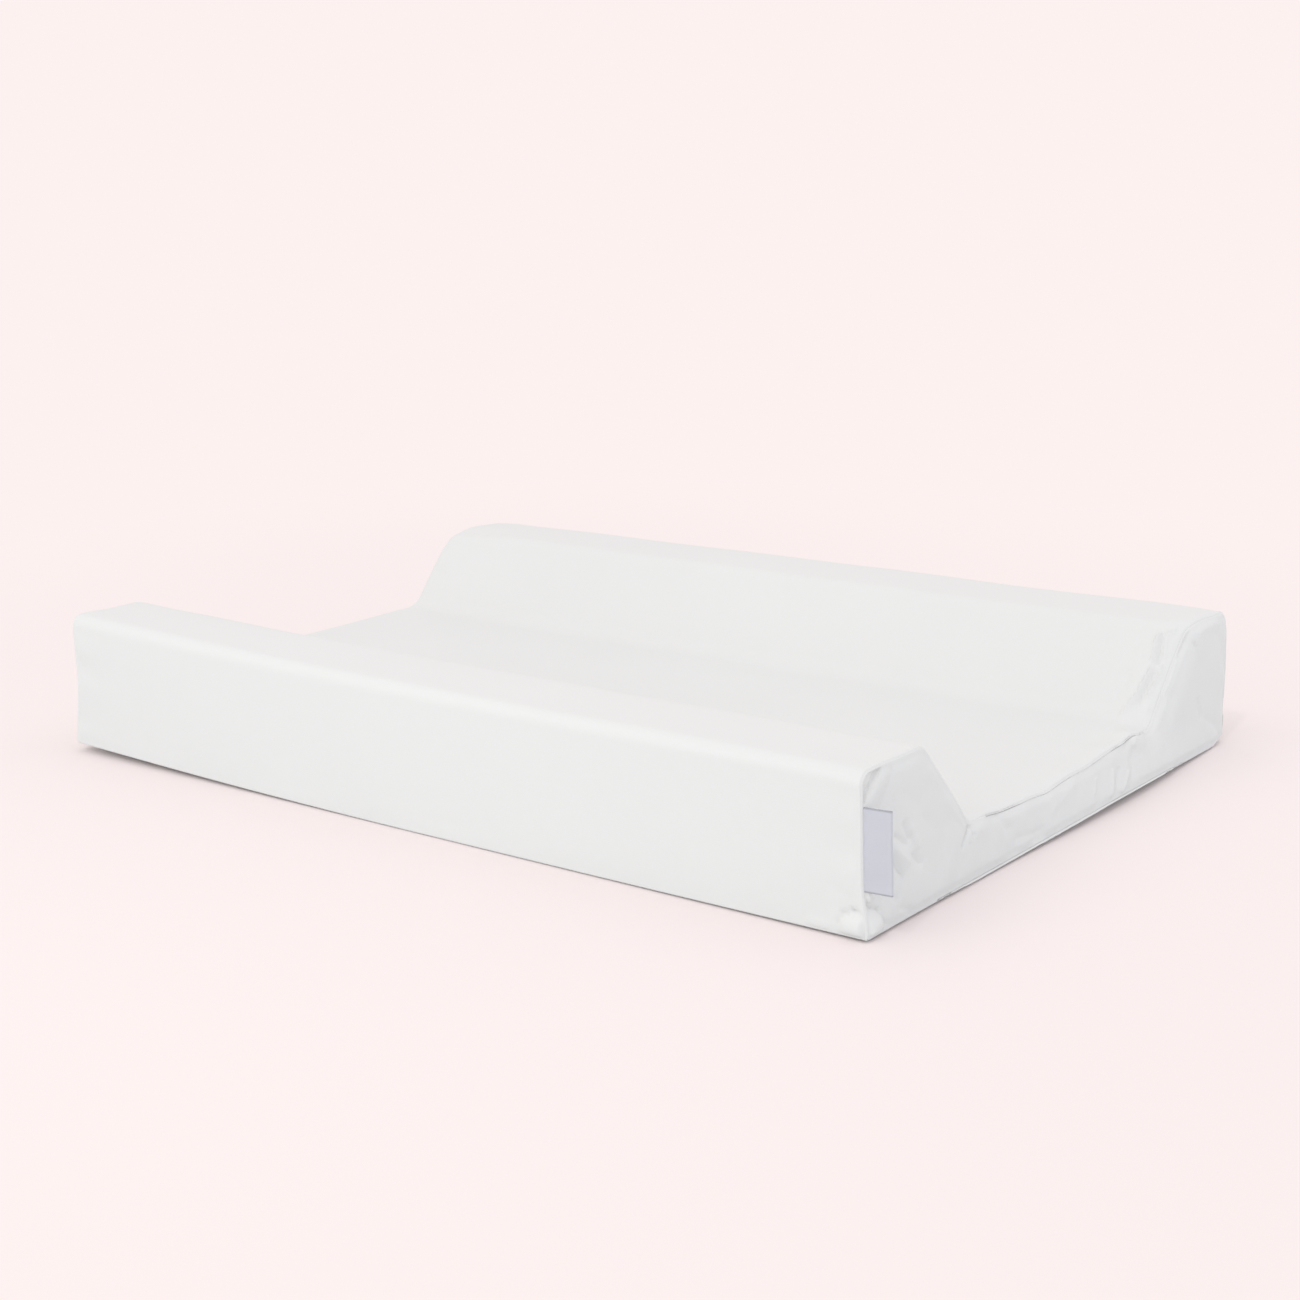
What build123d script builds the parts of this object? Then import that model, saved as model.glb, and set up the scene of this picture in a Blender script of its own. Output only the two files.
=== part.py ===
"""Contoured changing pad: a foam core with two raised bolsters in a sewn, wipe-clean cover with a zip in its rear wall.

Millimetres. +X runs along the pad's length, +Y from its front wall to its rear wall, +Z up.
The origin is the middle of the underside. Each sub-part is written to parts/NODE.step.
"""

from build123d import *
from math import cos, radians, sin
import os

# ---- Pad -------------------------------------------------------------------
pad_length = 750.0
pad_width = 500.0
pad_height = 107.0

# Cross-section, the same along the whole length
bolster_top_width = 66.0  # flat land on top of each bolster
bolster_slope_run = 55.0  # level distance from the land down to the seat
seat_edge_height = 43.0  # seat surface at the foot of a slope
seat_dish = 6.0  # how far the middle of the seat lies below its edges
outer_edge_radius = 9.0  # long outer top edges
inner_edge_radius = 15.0  # edge between land and slope
foot_radius = 22.0  # hollow between slope and seat
end_edge_radius = 6.0  # edges between the end panels and the rest

# ---- Cover -----------------------------------------------------------------
cover_thickness = 0.8  # coated cloth
sewing_gap = 0.2  # between two layers, or two panels that meet at a seam
seam_allowance = 12.0  # cloth turned in behind each end panel, from the outside edge
seam_angle = 45.0  # where the end seam runs round the end edge's arc

# ---- Foam core -------------------------------------------------------------
glue_height_above_foot = 3.0  # joint between slab and bolsters, above the seat's edge

# ---- Zip, in the rear wall ---------------------------------------------------
zip_height = 27.0  # centre line of the teeth above the underside
zip_opening = 13.0  # bare height between the two edges of the cover
tape_width = 14.0
tape_thickness = 0.6
tooth_pitch = 4.0
tooth_neck = 1.4  # tooth width where it leaves the cord
tooth_tip = 2.0
tooth_overlap = 1.0  # how far a tooth reaches past the centre line
cord_inner = 2.0  # from the centre line to the near side of the cord
cord_width = 1.2
chain_thickness = 2.4
top_stop_length = 3.0
bottom_stop_length = 4.0
stop_thickness = 3.2
stop_reach = 1.0  # how far a stop grips past the cord, over the tape
stop_corner = 0.5
stop_clearance = 0.05
top_stop_from_end = 27.0  # pad's end to the far side of the top stops
bottom_stop_from_end = 22.0  # pad's end to the far side of the bottom stop

# ---- Slider and pull ---------------------------------------------------------
slider_length = 14.0
slider_wall = 1.2  # plates, and the flanges beside the chain
slider_flare = 1.0  # each side, from the rear mouth to the front one
slider_clearance = 0.2  # round the chain
tape_clearance = 0.25  # each side of the tape, between the flanges
slider_corner = 1.6
slider_soften = 0.4
wedge_length = 6.0
wedge_half_width = 1.2
bridge_length = 9.0
bridge_width = 2.4
bridge_bar = 1.3  # thickness of the bridge's bar and legs
bridge_corner = 1.0
pull_thickness = 1.4
pull_play = 0.25  # round the pull's bar, under the bridge
pull_length = 27.0
pull_eye_width = 6.0
pull_eye_side = 0.35  # between the eye and the bridge, each side
pull_eye_end = 0.8  # between the end of the eye and the bridge's leg
pull_end_width = 9.0
pull_slot_length = 9.0
pull_slot_width = 3.0

# ---- Corner tag --------------------------------------------------------------
tag_height = 54.0
tag_reach = 19.0  # beyond the corner seam
tag_bottom = 30.5  # above the underside
tag_angle = 4.0  # how far it leans from the front wall's line to the rear
ribbon_thickness = 0.5
ribbon_gap = 0.3  # between the two plies
tag_clearance = 0.15  # in the slot through the seam

# ---- Sizes that follow -------------------------------------------------------
half_length = pad_length / 2
half_width = pad_width / 2
foam_inset = cover_thickness + sewing_gap
foam_end_inset = 2 * foam_inset  # leaves room for the allowance behind each end panel
glue_height = seat_edge_height + glue_height_above_foot
seam_setback = end_edge_radius * (1 - cos(radians(seam_angle)))
seam_x = half_length - seam_setback
tag_root = foam_end_inset - sewing_gap  # caught between the layers of the seam

chain_y = half_width - cover_thickness - sewing_gap - tape_thickness / 2
cord_outer = cord_inner + cord_width
tape_half_length = half_length - end_edge_radius
tape_reach = cord_outer + tape_width

plate_inner = chain_thickness / 2 + slider_clearance
plate_outer = plate_inner + slider_wall
rear_mouth = cord_outer + slider_clearance
front_mouth = rear_mouth + slider_flare
slider_front = half_length - top_stop_from_end - top_stop_length - sewing_gap
slider_x = slider_front - slider_length / 2
bottom_stop_x = -half_length + bottom_stop_from_end
slider_travel = slider_front - slider_length - bottom_stop_x - bottom_stop_length - sewing_gap

pull_axis_y = chain_y + plate_outer + pull_play + pull_thickness / 2
bridge_rise = 2 * pull_play + pull_thickness
eye_length = bridge_length / 2 + pull_eye_end
eye_half_width = bridge_width / 2 + pull_eye_side

far = pad_length  # reaches past the pad on any side


# ---- Helpers -----------------------------------------------------------------
def span(x=(-far, far), y=(-far, far), z=(-far, far)):
    """Box between two limits on each axis."""
    centre = [(low + high) / 2 for low, high in (x, y, z)]
    size = [high - low for low, high in (x, y, z)]
    return Pos(*centre) * Box(*size)


def single(shape):
    """The shape's solids as one part, with faces merged where they are flush."""
    return Part(children=list(shape.clean().solids()))


def write(node, shape):
    export_step(shape, os.path.join("parts", node + ".step"))


def zip_plane(y):
    """Plane of the zip at depth y: its x runs along the pad and its y up from the teeth's centre line."""
    return Plane(origin=(0, y, zip_height), x_dir=(1, 0, 0), z_dir=(0, -1, 0))


def zip_prism(points, thickness, y=chain_y):
    """A polygon in the zip's plane, made equally thick to both sides of depth y."""
    outline = make_face(Polyline(*points, close=True))
    return extrude(zip_plane(y) * outline, thickness / 2, both=True)


# ---- The pad's outer form, and the same form pulled in ---------------------------
def contour(inset):
    """The cross-section as a face in the YZ plane, pulled in from the outside by inset."""
    land = half_width - bolster_top_width
    foot = land - bolster_slope_run
    rear = Polyline((foot, seat_edge_height), (land, pad_height), (half_width, pad_height), (half_width, 0))
    underside = Line((half_width, 0), (-half_width, 0))
    front = Polyline((-half_width, 0), (-half_width, pad_height), (-land, pad_height), (-foot, seat_edge_height))
    seat = SagittaArc((-foot, seat_edge_height), (foot, seat_edge_height), -seat_dish)
    face = make_face([rear, underside, front, seat])
    for place, height, radius in (
        (half_width, pad_height, outer_edge_radius),
        (land, pad_height, inner_edge_radius),
        (foot, seat_edge_height, foot_radius),
    ):
        for side in (-1, 1):
            corner = face.vertices().sort_by_distance((side * place, height))[0]
            face = fillet(corner, radius)
    if inset:
        face = offset(face, -inset, kind=Kind.INTERSECTION)
    return face


def block(inset, end_inset):
    """The contour pulled in by inset, run along the pad to end_inset short of both ends."""
    return extrude(Plane.YZ * contour(inset), half_length - end_inset, both=True)


def end_edges(body):
    """The edges of both end faces, apart from those on the underside."""
    ends = body.faces().filter_by(Axis.X)
    lowest = body.bounding_box().min.Z
    return [edge for end in ends for edge in end.edges() if edge.center().Z > lowest + sewing_gap]


def form(inset):
    """The whole pad as a solid, pulled in by inset on every side, with its end edges rounded."""
    body = block(inset, inset)
    return fillet(end_edges(body), end_edge_radius - inset)


# ---- Foam --------------------------------------------------------------------
def foam_core():
    """The foam as if in one piece, its end edges eased to lie inside the cover's rounded ones."""
    body = block(foam_inset, foam_end_inset)
    return chamfer(end_edges(body), end_edge_radius - foam_end_inset)


def foam_slab(core):
    """Full-size slab with the dished seat, pressed in at the rear by the zip's tapes and slider."""
    slab = core & span(z=(0, glue_height))
    tape_relief = tape_reach + sewing_gap
    slider_relief = front_mouth + slider_wall + sewing_gap
    for depth, half in ((tape_thickness / 2, tape_relief), (plate_outer, slider_relief)):
        inner = chain_y - depth - sewing_gap
        slab -= span(y=(inner, far), z=(zip_height - half, zip_height + half))
    return single(slab)


def foam_bolster(core, side):
    """Wedge glued along one long side of the slab."""
    return single(core & span(y=(0, side * far) if side > 0 else (side * far, 0), z=(glue_height, far)))


# ---- Cover -------------------------------------------------------------------
def tag_envelope(clearance):
    """The space that the tag takes up, with room on every side."""
    thickness = 2 * ribbon_thickness + ribbon_gap + 2 * clearance
    length = tag_reach + tag_root + 2 * clearance
    block = Box(length, thickness, tag_height + 2 * clearance, align=(Align.MIN, Align.CENTER, Align.MIN))
    return tag_place() * Pos(-tag_root - clearance, 0, -clearance) * block


def tag_place():
    """The tag's own frame: at the front right corner seam, x along the tag."""
    seam_y = -half_width + end_edge_radius * (1 - sin(radians(seam_angle)))
    return Location((seam_x, seam_y, tag_bottom), (0, 0, tag_angle))


def wrap_panel(skin):
    """One sheet: up the front wall, over both bolsters and the seat, and down the rear wall to the zip."""
    seam = seam_x - sewing_gap / 2
    sheet = skin & span(x=(-seam, seam), z=(foam_inset, far))
    below_zip = span(y=(half_width - end_edge_radius, far), z=(-far, zip_height + zip_opening / 2))
    return single(sheet - below_zip - tag_envelope(tag_clearance))


def base_panel(skin):
    """Underside sheet, turned up at the rear as far as the zip."""
    seam = seam_x - sewing_gap / 2
    floor = skin & span(z=(0, cover_thickness))
    upstand = skin & span(
        x=(-seam, seam),
        y=(half_width - end_edge_radius, far),
        z=(0, zip_height - zip_opening / 2),
    )
    return single(floor + upstand)


def end_panel(skin, side):
    """One end of the cover, with its seam allowance turned in flat behind it."""
    panel = skin & span(x=(seam_x + sewing_gap / 2, far))
    allowance = form(cover_thickness) - block(seam_allowance, 0)
    panel += allowance & span(x=(half_length - foam_end_inset + sewing_gap, half_length - foam_inset))
    panel &= span(z=(foam_inset, far))
    panel -= tag_envelope(tag_clearance)
    if side < 0:
        panel = mirror(panel, about=Plane.YZ)
    return single(panel)


def corner_tag():
    """Ribbon folded once, its fold outwards and both ends caught in the seam."""
    pitch = (ribbon_thickness + ribbon_gap) / 2  # from the middle of the tag to the middle of a ply
    straight = tag_reach - pitch - ribbon_thickness / 2
    path = Line((-tag_root, -pitch), (straight, -pitch))
    path += CenterArc((straight, 0), pitch, -90, 180)
    path += Line((straight, pitch), (-tag_root, pitch))
    return tag_place() * extrude(trace(path, ribbon_thickness), tag_height)


# ---- Zip ---------------------------------------------------------------------
def zip_tape(side):
    """Woven tape, sewn behind the cover's edge."""
    near, away = sorted((side * cord_outer, side * tape_reach))
    return span(
        x=(-tape_half_length, tape_half_length),
        y=(chain_y - tape_thickness / 2, chain_y + tape_thickness / 2),
        z=(zip_height + near, zip_height + away),
    )


def tooth_row(side):
    """One row of moulded teeth on its cord. The teeth widen to their tips, so the two rows interlock."""
    start = bottom_stop_x + bottom_stop_length
    last = slider_front - wedge_length - tooth_pitch
    centre = start + tooth_pitch / 2 + (side + 1) * tooth_pitch / 4
    points = [(start, side * cord_inner)]
    while centre < last:
        points += [
            (centre - tooth_neck / 2, side * cord_inner),
            (centre - tooth_tip / 2, -side * tooth_overlap),
            (centre + tooth_tip / 2, -side * tooth_overlap),
            (centre + tooth_neck / 2, side * cord_inner),
        ]
        centre += tooth_pitch
    end = slider_front + sewing_gap
    points += [(end, side * cord_inner), (end, side * cord_outer), (start, side * cord_outer)]
    return zip_prism(points, chain_thickness)


def tape_slot():
    """The space between both tapes' faces beyond the cords, from which a stop is cut to grip them."""
    slot = span(
        y=(chain_y - tape_thickness / 2 - stop_clearance, chain_y + tape_thickness / 2 + stop_clearance),
    )
    return slot - span(z=(zip_height - cord_outer + stop_clearance, zip_height + cord_outer - stop_clearance))


def stop(x, length, near, away):
    """A moulded stop that starts at x and reaches from near to away of the centre line."""
    points = [(x, near), (x + length, near), (x + length, away), (x, away)]
    body = zip_prism(points, stop_thickness)
    body = chamfer(body.edges().filter_by(Axis.Y), stop_corner)
    return single(body - tape_slot())


def top_stops():
    """Two stops, one on each tape, in front of the parked slider."""
    x = slider_front + sewing_gap
    return Compound(
        children=[
            stop(x, top_stop_length, side * cord_inner, side * (cord_outer + stop_reach)) for side in (-1, 1)
        ]
    )


def bottom_stop():
    """One stop across both tapes, at the open end."""
    reach = cord_outer + stop_reach
    return stop(bottom_stop_x, bottom_stop_length, -reach, reach)


def slider():
    """Two plates joined by a wedge, with flanges that leave a slot for the tape, and a bridge for the pull."""
    rear, front = slider_x - slider_length / 2, slider_front
    wide_rear, wide_front = rear_mouth + slider_wall, front_mouth + slider_wall
    outline = [(rear, -wide_rear), (front, -wide_front), (front, wide_front), (rear, wide_rear)]
    body = zip_prism(outline, 2 * plate_outer)
    body = fillet(body.edges().filter_by(Axis.Y), slider_corner)
    body = chamfer(body.faces().filter_by(Axis.Y).edges(), slider_soften)
    channel = [
        (rear - slider_wall, -rear_mouth),
        (slider_x, -rear_mouth),
        (front, -front_mouth),
        (front + slider_wall, -front_mouth),
        (front + slider_wall, front_mouth),
        (front, front_mouth),
        (slider_x, rear_mouth),
        (rear - slider_wall, rear_mouth),
    ]
    body -= zip_prism(channel, 2 * plate_inner)
    slot = tape_thickness + 2 * tape_clearance
    body -= span(y=(chain_y - slot / 2, chain_y + slot / 2))
    tip, nose = front - wedge_length, front - slider_corner
    wedge = [(tip, 0), (nose, -wedge_half_width), (front - slider_soften, 0), (nose, wedge_half_width)]
    body += zip_prism(wedge, plate_inner + plate_outer)
    return single(body + bridge())


def bridge():
    """Arch on the outer plate, under which the pull's bar turns."""
    foot = chain_y + plate_outer - slider_wall / 2
    under = chain_y + plate_outer + bridge_rise
    ridge = under + bridge_bar
    half = bridge_length / 2
    arch = Rectangle(bridge_length, ridge - foot, align=(Align.CENTER, Align.MIN))
    tops = arch.vertices().group_by(Axis.Y)[-1]
    arch = fillet(tops, bridge_corner)
    arch -= Rectangle(2 * (half - bridge_bar), under - foot, align=(Align.CENTER, Align.MIN))
    return Location((slider_x, foot, zip_height)) * extrude(arch, bridge_width / 2, both=True)


def pull():
    """Flat tab with an eye round the bridge. Its bar is the hinge, and the tab lies over the closed teeth."""
    bar = pull_thickness / 2
    eye_wall = pull_eye_width / 2 - eye_half_width
    neck = eye_length + eye_wall
    outline = make_face(
        Polyline(
            (0, -pull_eye_width / 2),
            (-neck, -pull_eye_width / 2),
            (-pull_length, -pull_end_width / 2),
            (-pull_length, pull_end_width / 2),
            (-neck, pull_eye_width / 2),
            (0, pull_eye_width / 2),
            close=True,
        )
    )
    outline = fillet(outline.vertices().group_by(Axis.X)[0], pull_end_width / 3)
    eye = Pos((bar - eye_length) / 2, 0) * Rectangle(eye_length + bar, 2 * eye_half_width)
    hole_x = -pull_length + pull_slot_length / 2 + pull_slot_width
    hole = Pos(hole_x, 0) * SlotOverall(pull_slot_length, pull_slot_width)
    place = Plane(origin=(slider_x, pull_axis_y, zip_height), x_dir=(1, 0, 0), z_dir=(0, -1, 0))
    tab = extrude(place * (outline - eye - hole), bar, both=True)
    hinge_bar = Location((slider_x, pull_axis_y, zip_height)) * Cylinder(bar, pull_eye_width)
    return single(tab + hinge_bar)


# ---- Write every sub-part --------------------------------------------------------
def main():
    os.makedirs("parts", exist_ok=True)
    core = foam_core()
    skin = form(0) - form(cover_thickness)
    write("foam_base_slab", foam_slab(core))
    write("front_foam_bolster", foam_bolster(core, -1))
    write("rear_foam_bolster", foam_bolster(core, 1))
    write("cover_wrap_panel", wrap_panel(skin))
    write("cover_base_panel", base_panel(skin))
    write("cover_right_end_panel", end_panel(skin, 1))
    write("cover_left_end_panel", end_panel(skin, -1))
    write("corner_tag", corner_tag())
    write("upper_zip_tape", zip_tape(1))
    write("lower_zip_tape", zip_tape(-1))
    write("upper_zip_teeth", tooth_row(1))
    write("lower_zip_teeth", tooth_row(-1))
    write("zip_top_stops", top_stops())
    write("zip_bottom_stop", bottom_stop())
    write("zip_slider", slider())
    write("zip_pull", pull())
    print("slider travel", round(slider_travel, 3))
    print("pull hinge", (round(slider_x, 3), round(pull_axis_y, 3), round(zip_height, 3)))


main()
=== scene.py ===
"""Contoured changing pad: a foam core in a sewn, wipe-clean cover with a zip in its rear wall.

Everything is worked out in millimetres in the CAD frame and put into the meshes in metres.
+X runs along the pad, +Y from its front wall to its rear wall, +Z up.
"""

import bpy
import numpy as np
from mathutils import Matrix, Vector


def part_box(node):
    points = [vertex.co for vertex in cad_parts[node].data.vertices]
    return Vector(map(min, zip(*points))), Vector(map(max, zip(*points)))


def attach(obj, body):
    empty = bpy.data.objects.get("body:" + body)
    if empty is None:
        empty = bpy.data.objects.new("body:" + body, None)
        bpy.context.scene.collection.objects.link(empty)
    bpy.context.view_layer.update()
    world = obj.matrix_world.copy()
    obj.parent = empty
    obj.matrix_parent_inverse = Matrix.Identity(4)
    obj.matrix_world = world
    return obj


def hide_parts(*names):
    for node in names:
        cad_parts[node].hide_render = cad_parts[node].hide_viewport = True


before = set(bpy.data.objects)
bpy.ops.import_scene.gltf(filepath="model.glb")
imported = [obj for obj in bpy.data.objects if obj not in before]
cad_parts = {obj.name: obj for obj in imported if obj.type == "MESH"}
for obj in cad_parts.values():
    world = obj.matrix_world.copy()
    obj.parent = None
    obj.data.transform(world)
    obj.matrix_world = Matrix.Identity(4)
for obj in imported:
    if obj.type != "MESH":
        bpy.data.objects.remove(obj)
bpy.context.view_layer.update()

bl_info = {
    "name": "Contoured Changing Pad",
    "version": (1, 0, 0),
    "blender": (4, 5, 0),
    "location": "3D View > Sidebar > Changing Pad",
    "description": "Builds the foam, sewn cover, zip trim and tag of a contoured changing pad",
    "category": "Object",
}

MM = 0.001
# where the cloth starts to turn into an end seam, from the panel's outline, and how deep it goes in
SEAM_FLAT, SEAM_DEPTH = 1.85, 2.2
# the same for the seam along the floor
BOTTOM_FLAT, BOTTOM_DEPTH = 1.12, 1.9
# spacing of the points that the end panels' outline is read at
RIM_STEP = 0.6
# a wave texture of scale 1 has one band in this many metres
BAND = 0.3142


def linear(code):
    """An sRGB hex colour as linear red, green, blue and 1."""
    part = np.array([int(code[i : i + 2], 16) for i in (1, 3, 5)]) / 255
    return (*np.where(part <= 0.04045, part / 12.92, ((part + 0.055) / 1.055) ** 2.4), 1.0)


def extent(node, axis, side):
    """Where a CAD node ends on one axis, in millimetres: side 0 is its lowest point and 1 its highest."""
    return float(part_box(node)[side][axis]) / MM


HALF_LENGTH = extent("cover_right_end_panel", 0, 1)
HALF_WIDTH = extent("cover_base_panel", 1, 1)
HEIGHT = extent("cover_wrap_panel", 2, 1)
ZIP_TOP = extent("upper_zip_tape", 2, 1)
ZIP_BASE = extent("lower_zip_tape", 2, 0)
ZIP_HEIGHT = (ZIP_TOP + ZIP_BASE) / 2


# ---- Sizes and colours -----------------------------------------------------------
def length(name, description, default):
    """A length property, given in millimetres and kept in metres."""
    return bpy.props.FloatProperty(
        name=name, description=description, default=default * MM, subtype="DISTANCE", unit="LENGTH"
    )


def colour(name, description, default):
    """A colour property, given as sRGB hex."""
    return bpy.props.FloatVectorProperty(
        name=name, description=description, default=linear(default), size=4, min=0, max=1, subtype="COLOR"
    )


class ChangingPadSection(bpy.types.PropertyGroup):
    """Cross-section of the pad, the same along its length."""

    land: length("Bolster top", "Width of the flat land on top of each bolster", 66)
    slope: length("Slope run", "Level distance from the land down to the seat", 55)
    seat: length("Seat edge height", "Seat surface at the foot of a slope", 43)
    dish: length("Seat dish", "How far the middle of the seat lies below its edges", 6)
    outer_radius: length("Outer edge radius", "Long outer top edges", 9)
    inner_radius: length("Inner edge radius", "Edge between land and slope", 15)
    foot_radius: length("Foot radius", "Hollow between slope and seat", 22)


class ChangingPadCover(bpy.types.PropertyGroup):
    """How the cover is sewn and how it sits on the foam."""

    cloth: length("Cloth thickness", "Coated cloth of the cover", 0.8)
    roll: length("Seam roll", "Radius of the cloth as it turns into an end seam", 1.5)
    foot_roll: length("Foot roll", "Radius of the cloth as it turns into the front bottom seam", 0.9)
    pucker: length("Pucker height", "Height of the longest puckers beside the end seams", 1.0)
    curl_left: length("Left corner curl", "How far the tight cover draws the left front corner up", 6.4)
    curl_right: length("Right corner curl", "How far the tight cover draws the right front corner up", 1.3)
    lift: length("End lift", "How far the right end's lower edge rises behind its middle", 5.0)
    lean: length("Corner lean", "How far the top of the right front corner leans inwards", 3.0)
    push: length("Corner push", "How far the foot of the left front corner is pushed outwards", 8.0)
    press: length("Rear press", "How far the rear bolster is pressed down", 2.4)
    opening: length("Zip opening", "Bare height between the two hems at the zip", 13)
    stitch: length("Stitch length", "Topstitching along the zip's hems", 3.0)
    stitch_inset: length("Stitch inset", "From a hem's fold to its row of stitches", 3.2)


class ChangingPadColours(bpy.types.PropertyGroup):
    """Finishes that a user may repaint."""

    cover: colour("Cover", "Coated cloth of the walls, bolsters and seat", "#EEEEED")
    underside: colour("Underside", "Woven cloth under the pad", "#E9E9E8")
    ribbon: colour("Ribbon", "Satin ribbon of the corner tag", "#D3D4DD")
    tape: colour("Zip tape", "Woven tape of the zip", "#EFEFEE")
    foam: colour("Foam", "Foam core", "#F1E9CE")
    floor: colour("Floor", "Floor and background of the studio", "#FDF1F0")


# ---- Shape helpers ---------------------------------------------------------------
def smooth(x, low=0.0, high=1.0):
    """0 below low, 1 above high, and 3t^2 - 2t^3 between them."""
    t = np.clip((np.asarray(x, float) - low) / (high - low), 0, 1)
    return t * t * (3 - 2 * t)


def hump(x, width):
    """1 at 0, falling away to both sides as exp(-(x/width)^2)."""
    return np.exp(-((x / width) ** 2))


def ripple(u, v, wavelength, seed, waves=9):
    """Uneven swell of about -1 to 1: plane waves of nearly one length, with headings and phases from the
    seed, added up and divided by the root of their number."""
    draw = np.random.default_rng(seed)
    heading, phase = draw.uniform(0, 2 * np.pi, (2, waves))
    size = wavelength * draw.uniform(0.7, 1.4, waves)
    fronts = zip(heading, phase, size)
    total = sum(np.sin(2 * np.pi * (u * np.cos(h) + v * np.sin(h)) / w + p) for h, p, w in fronts)
    return total / np.sqrt(waves)


def spaced(start, stop, step_at):
    """Positions from start to stop whose spacing follows step_at(position)."""
    fine = np.linspace(start, stop, 4000)
    density = 1 / step_at(fine)
    count = np.concatenate([[0], np.cumsum((density[1:] + density[:-1]) / 2 * np.diff(fine))])
    return np.interp(np.linspace(0, count[-1], int(np.ceil(count[-1])) + 1), count, fine)


def fillet(before, corner, after, radius, count=24):
    """Points on the arc that rounds a corner: start + r (sin p . run in + (1 - cos p) . inward), for p from
    0 to the turn."""
    before, corner, after = (np.asarray(p, float) for p in (before, corner, after))
    run_in = (corner - before) / np.linalg.norm(corner - before)
    run_out = (after - corner) / np.linalg.norm(after - corner)
    cross = run_in[0] * run_out[1] - run_in[1] * run_out[0]
    turn = np.arctan2(abs(cross), run_in @ run_out)
    inward = np.sign(cross) * np.array([-run_in[1], run_in[0]])
    p = np.linspace(0, turn, count)[:, None]
    start = corner - run_in * radius * np.tan(turn / 2)
    return start + radius * (np.sin(p) * run_in + (1 - np.cos(p)) * inward)


def roll_in(radius, flat, depth, count=6):
    """Cloth that turns into a seam, as (distance from the edge, depth below the face): a 60 degree arc of the
    radius that starts flat before the edge, then a tail that keeps to its own side of the corner."""
    p = np.radians(np.linspace(0, 60, count))
    arc = np.column_stack([flat - radius * np.sin(p), radius * (1 - np.cos(p))])
    tail = arc[-1] + np.array([[0.4, 0.3], [depth * 0.7, depth * 0.45], [depth * 1.2, depth * 0.7]])
    return np.vstack([arc, tail])


def seam_roll(cover):
    """The cloth's turn into an end seam."""
    return roll_in(cover.roll / MM, SEAM_FLAT, SEAM_DEPTH)


def bottom_roll(cover):
    """The cloth's turn into the seam along the floor."""
    return roll_in(cover.foot_roll / MM, BOTTOM_FLAT, BOTTOM_DEPTH)


def along(points):
    """Distance along a line of points, from its first."""
    return np.concatenate([[0], np.cumsum(np.linalg.norm(np.diff(points, axis=0), axis=1))])


def resample(points, at):
    """A line of points read at the given distances along it."""
    run = along(points)
    return np.column_stack([np.interp(at, run, points[:, k]) for k in range(points.shape[1])])


def evenly(points, step):
    """A line of points read every step along it."""
    return resample(points, np.arange(0, along(points)[-1], step))


def left_normal(points):
    """Unit normal to the left of a line in the plane, from central differences."""
    step = np.gradient(points, axis=0)
    normal = np.column_stack([-step[:, 1], step[:, 0]])
    return normal / np.linalg.norm(normal, axis=1, keepdims=True)


def section(settings, inset=0.0):
    """The cross-section from the foot of the front wall to the foot of the rear wall, as (y, z) points:
    straight runs, an arc at each corner and a parabolic dish in the seat. It is drawn inset inside the
    cover's face."""
    land = HALF_WIDTH - settings.land / MM
    foot = land - settings.slope / MM
    seat, top = settings.seat / MM, HEIGHT
    lean = np.arctan2(top - seat, land - foot)
    shift = inset * np.tan(lean / 2)
    corner = np.array(
        [
            (-HALF_WIDTH + inset, 0),
            (-HALF_WIDTH + inset, top - inset),
            (-land - shift, top - inset),
            (-foot - shift, seat - inset),
            (foot + shift, seat - inset),
            (land + shift, top - inset),
            (HALF_WIDTH - inset, top - inset),
            (HALF_WIDTH - inset, 0),
        ]
    )
    radii = (settings.outer_radius, settings.inner_radius, settings.foot_radius)
    outer, inner, hollow = (radius / MM for radius in radii)
    radii = [outer - inset, inner - inset, hollow + inset, hollow + inset, inner - inset, outer - inset]
    runs = [corner[:1], *(fillet(*corner[k : k + 3], r) for k, r in enumerate(radii)), corner[-1:]]
    line = np.vstack(runs)
    run = along(line)
    line = resample(line, np.arange(0, run[-1], 0.2))
    u = np.clip(np.abs(line[:, 0]) / foot, 0, 1)
    line[:, 1] -= settings.dish / MM * (1 - u * u) * smooth((1 - u) / 0.1)
    return line


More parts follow.
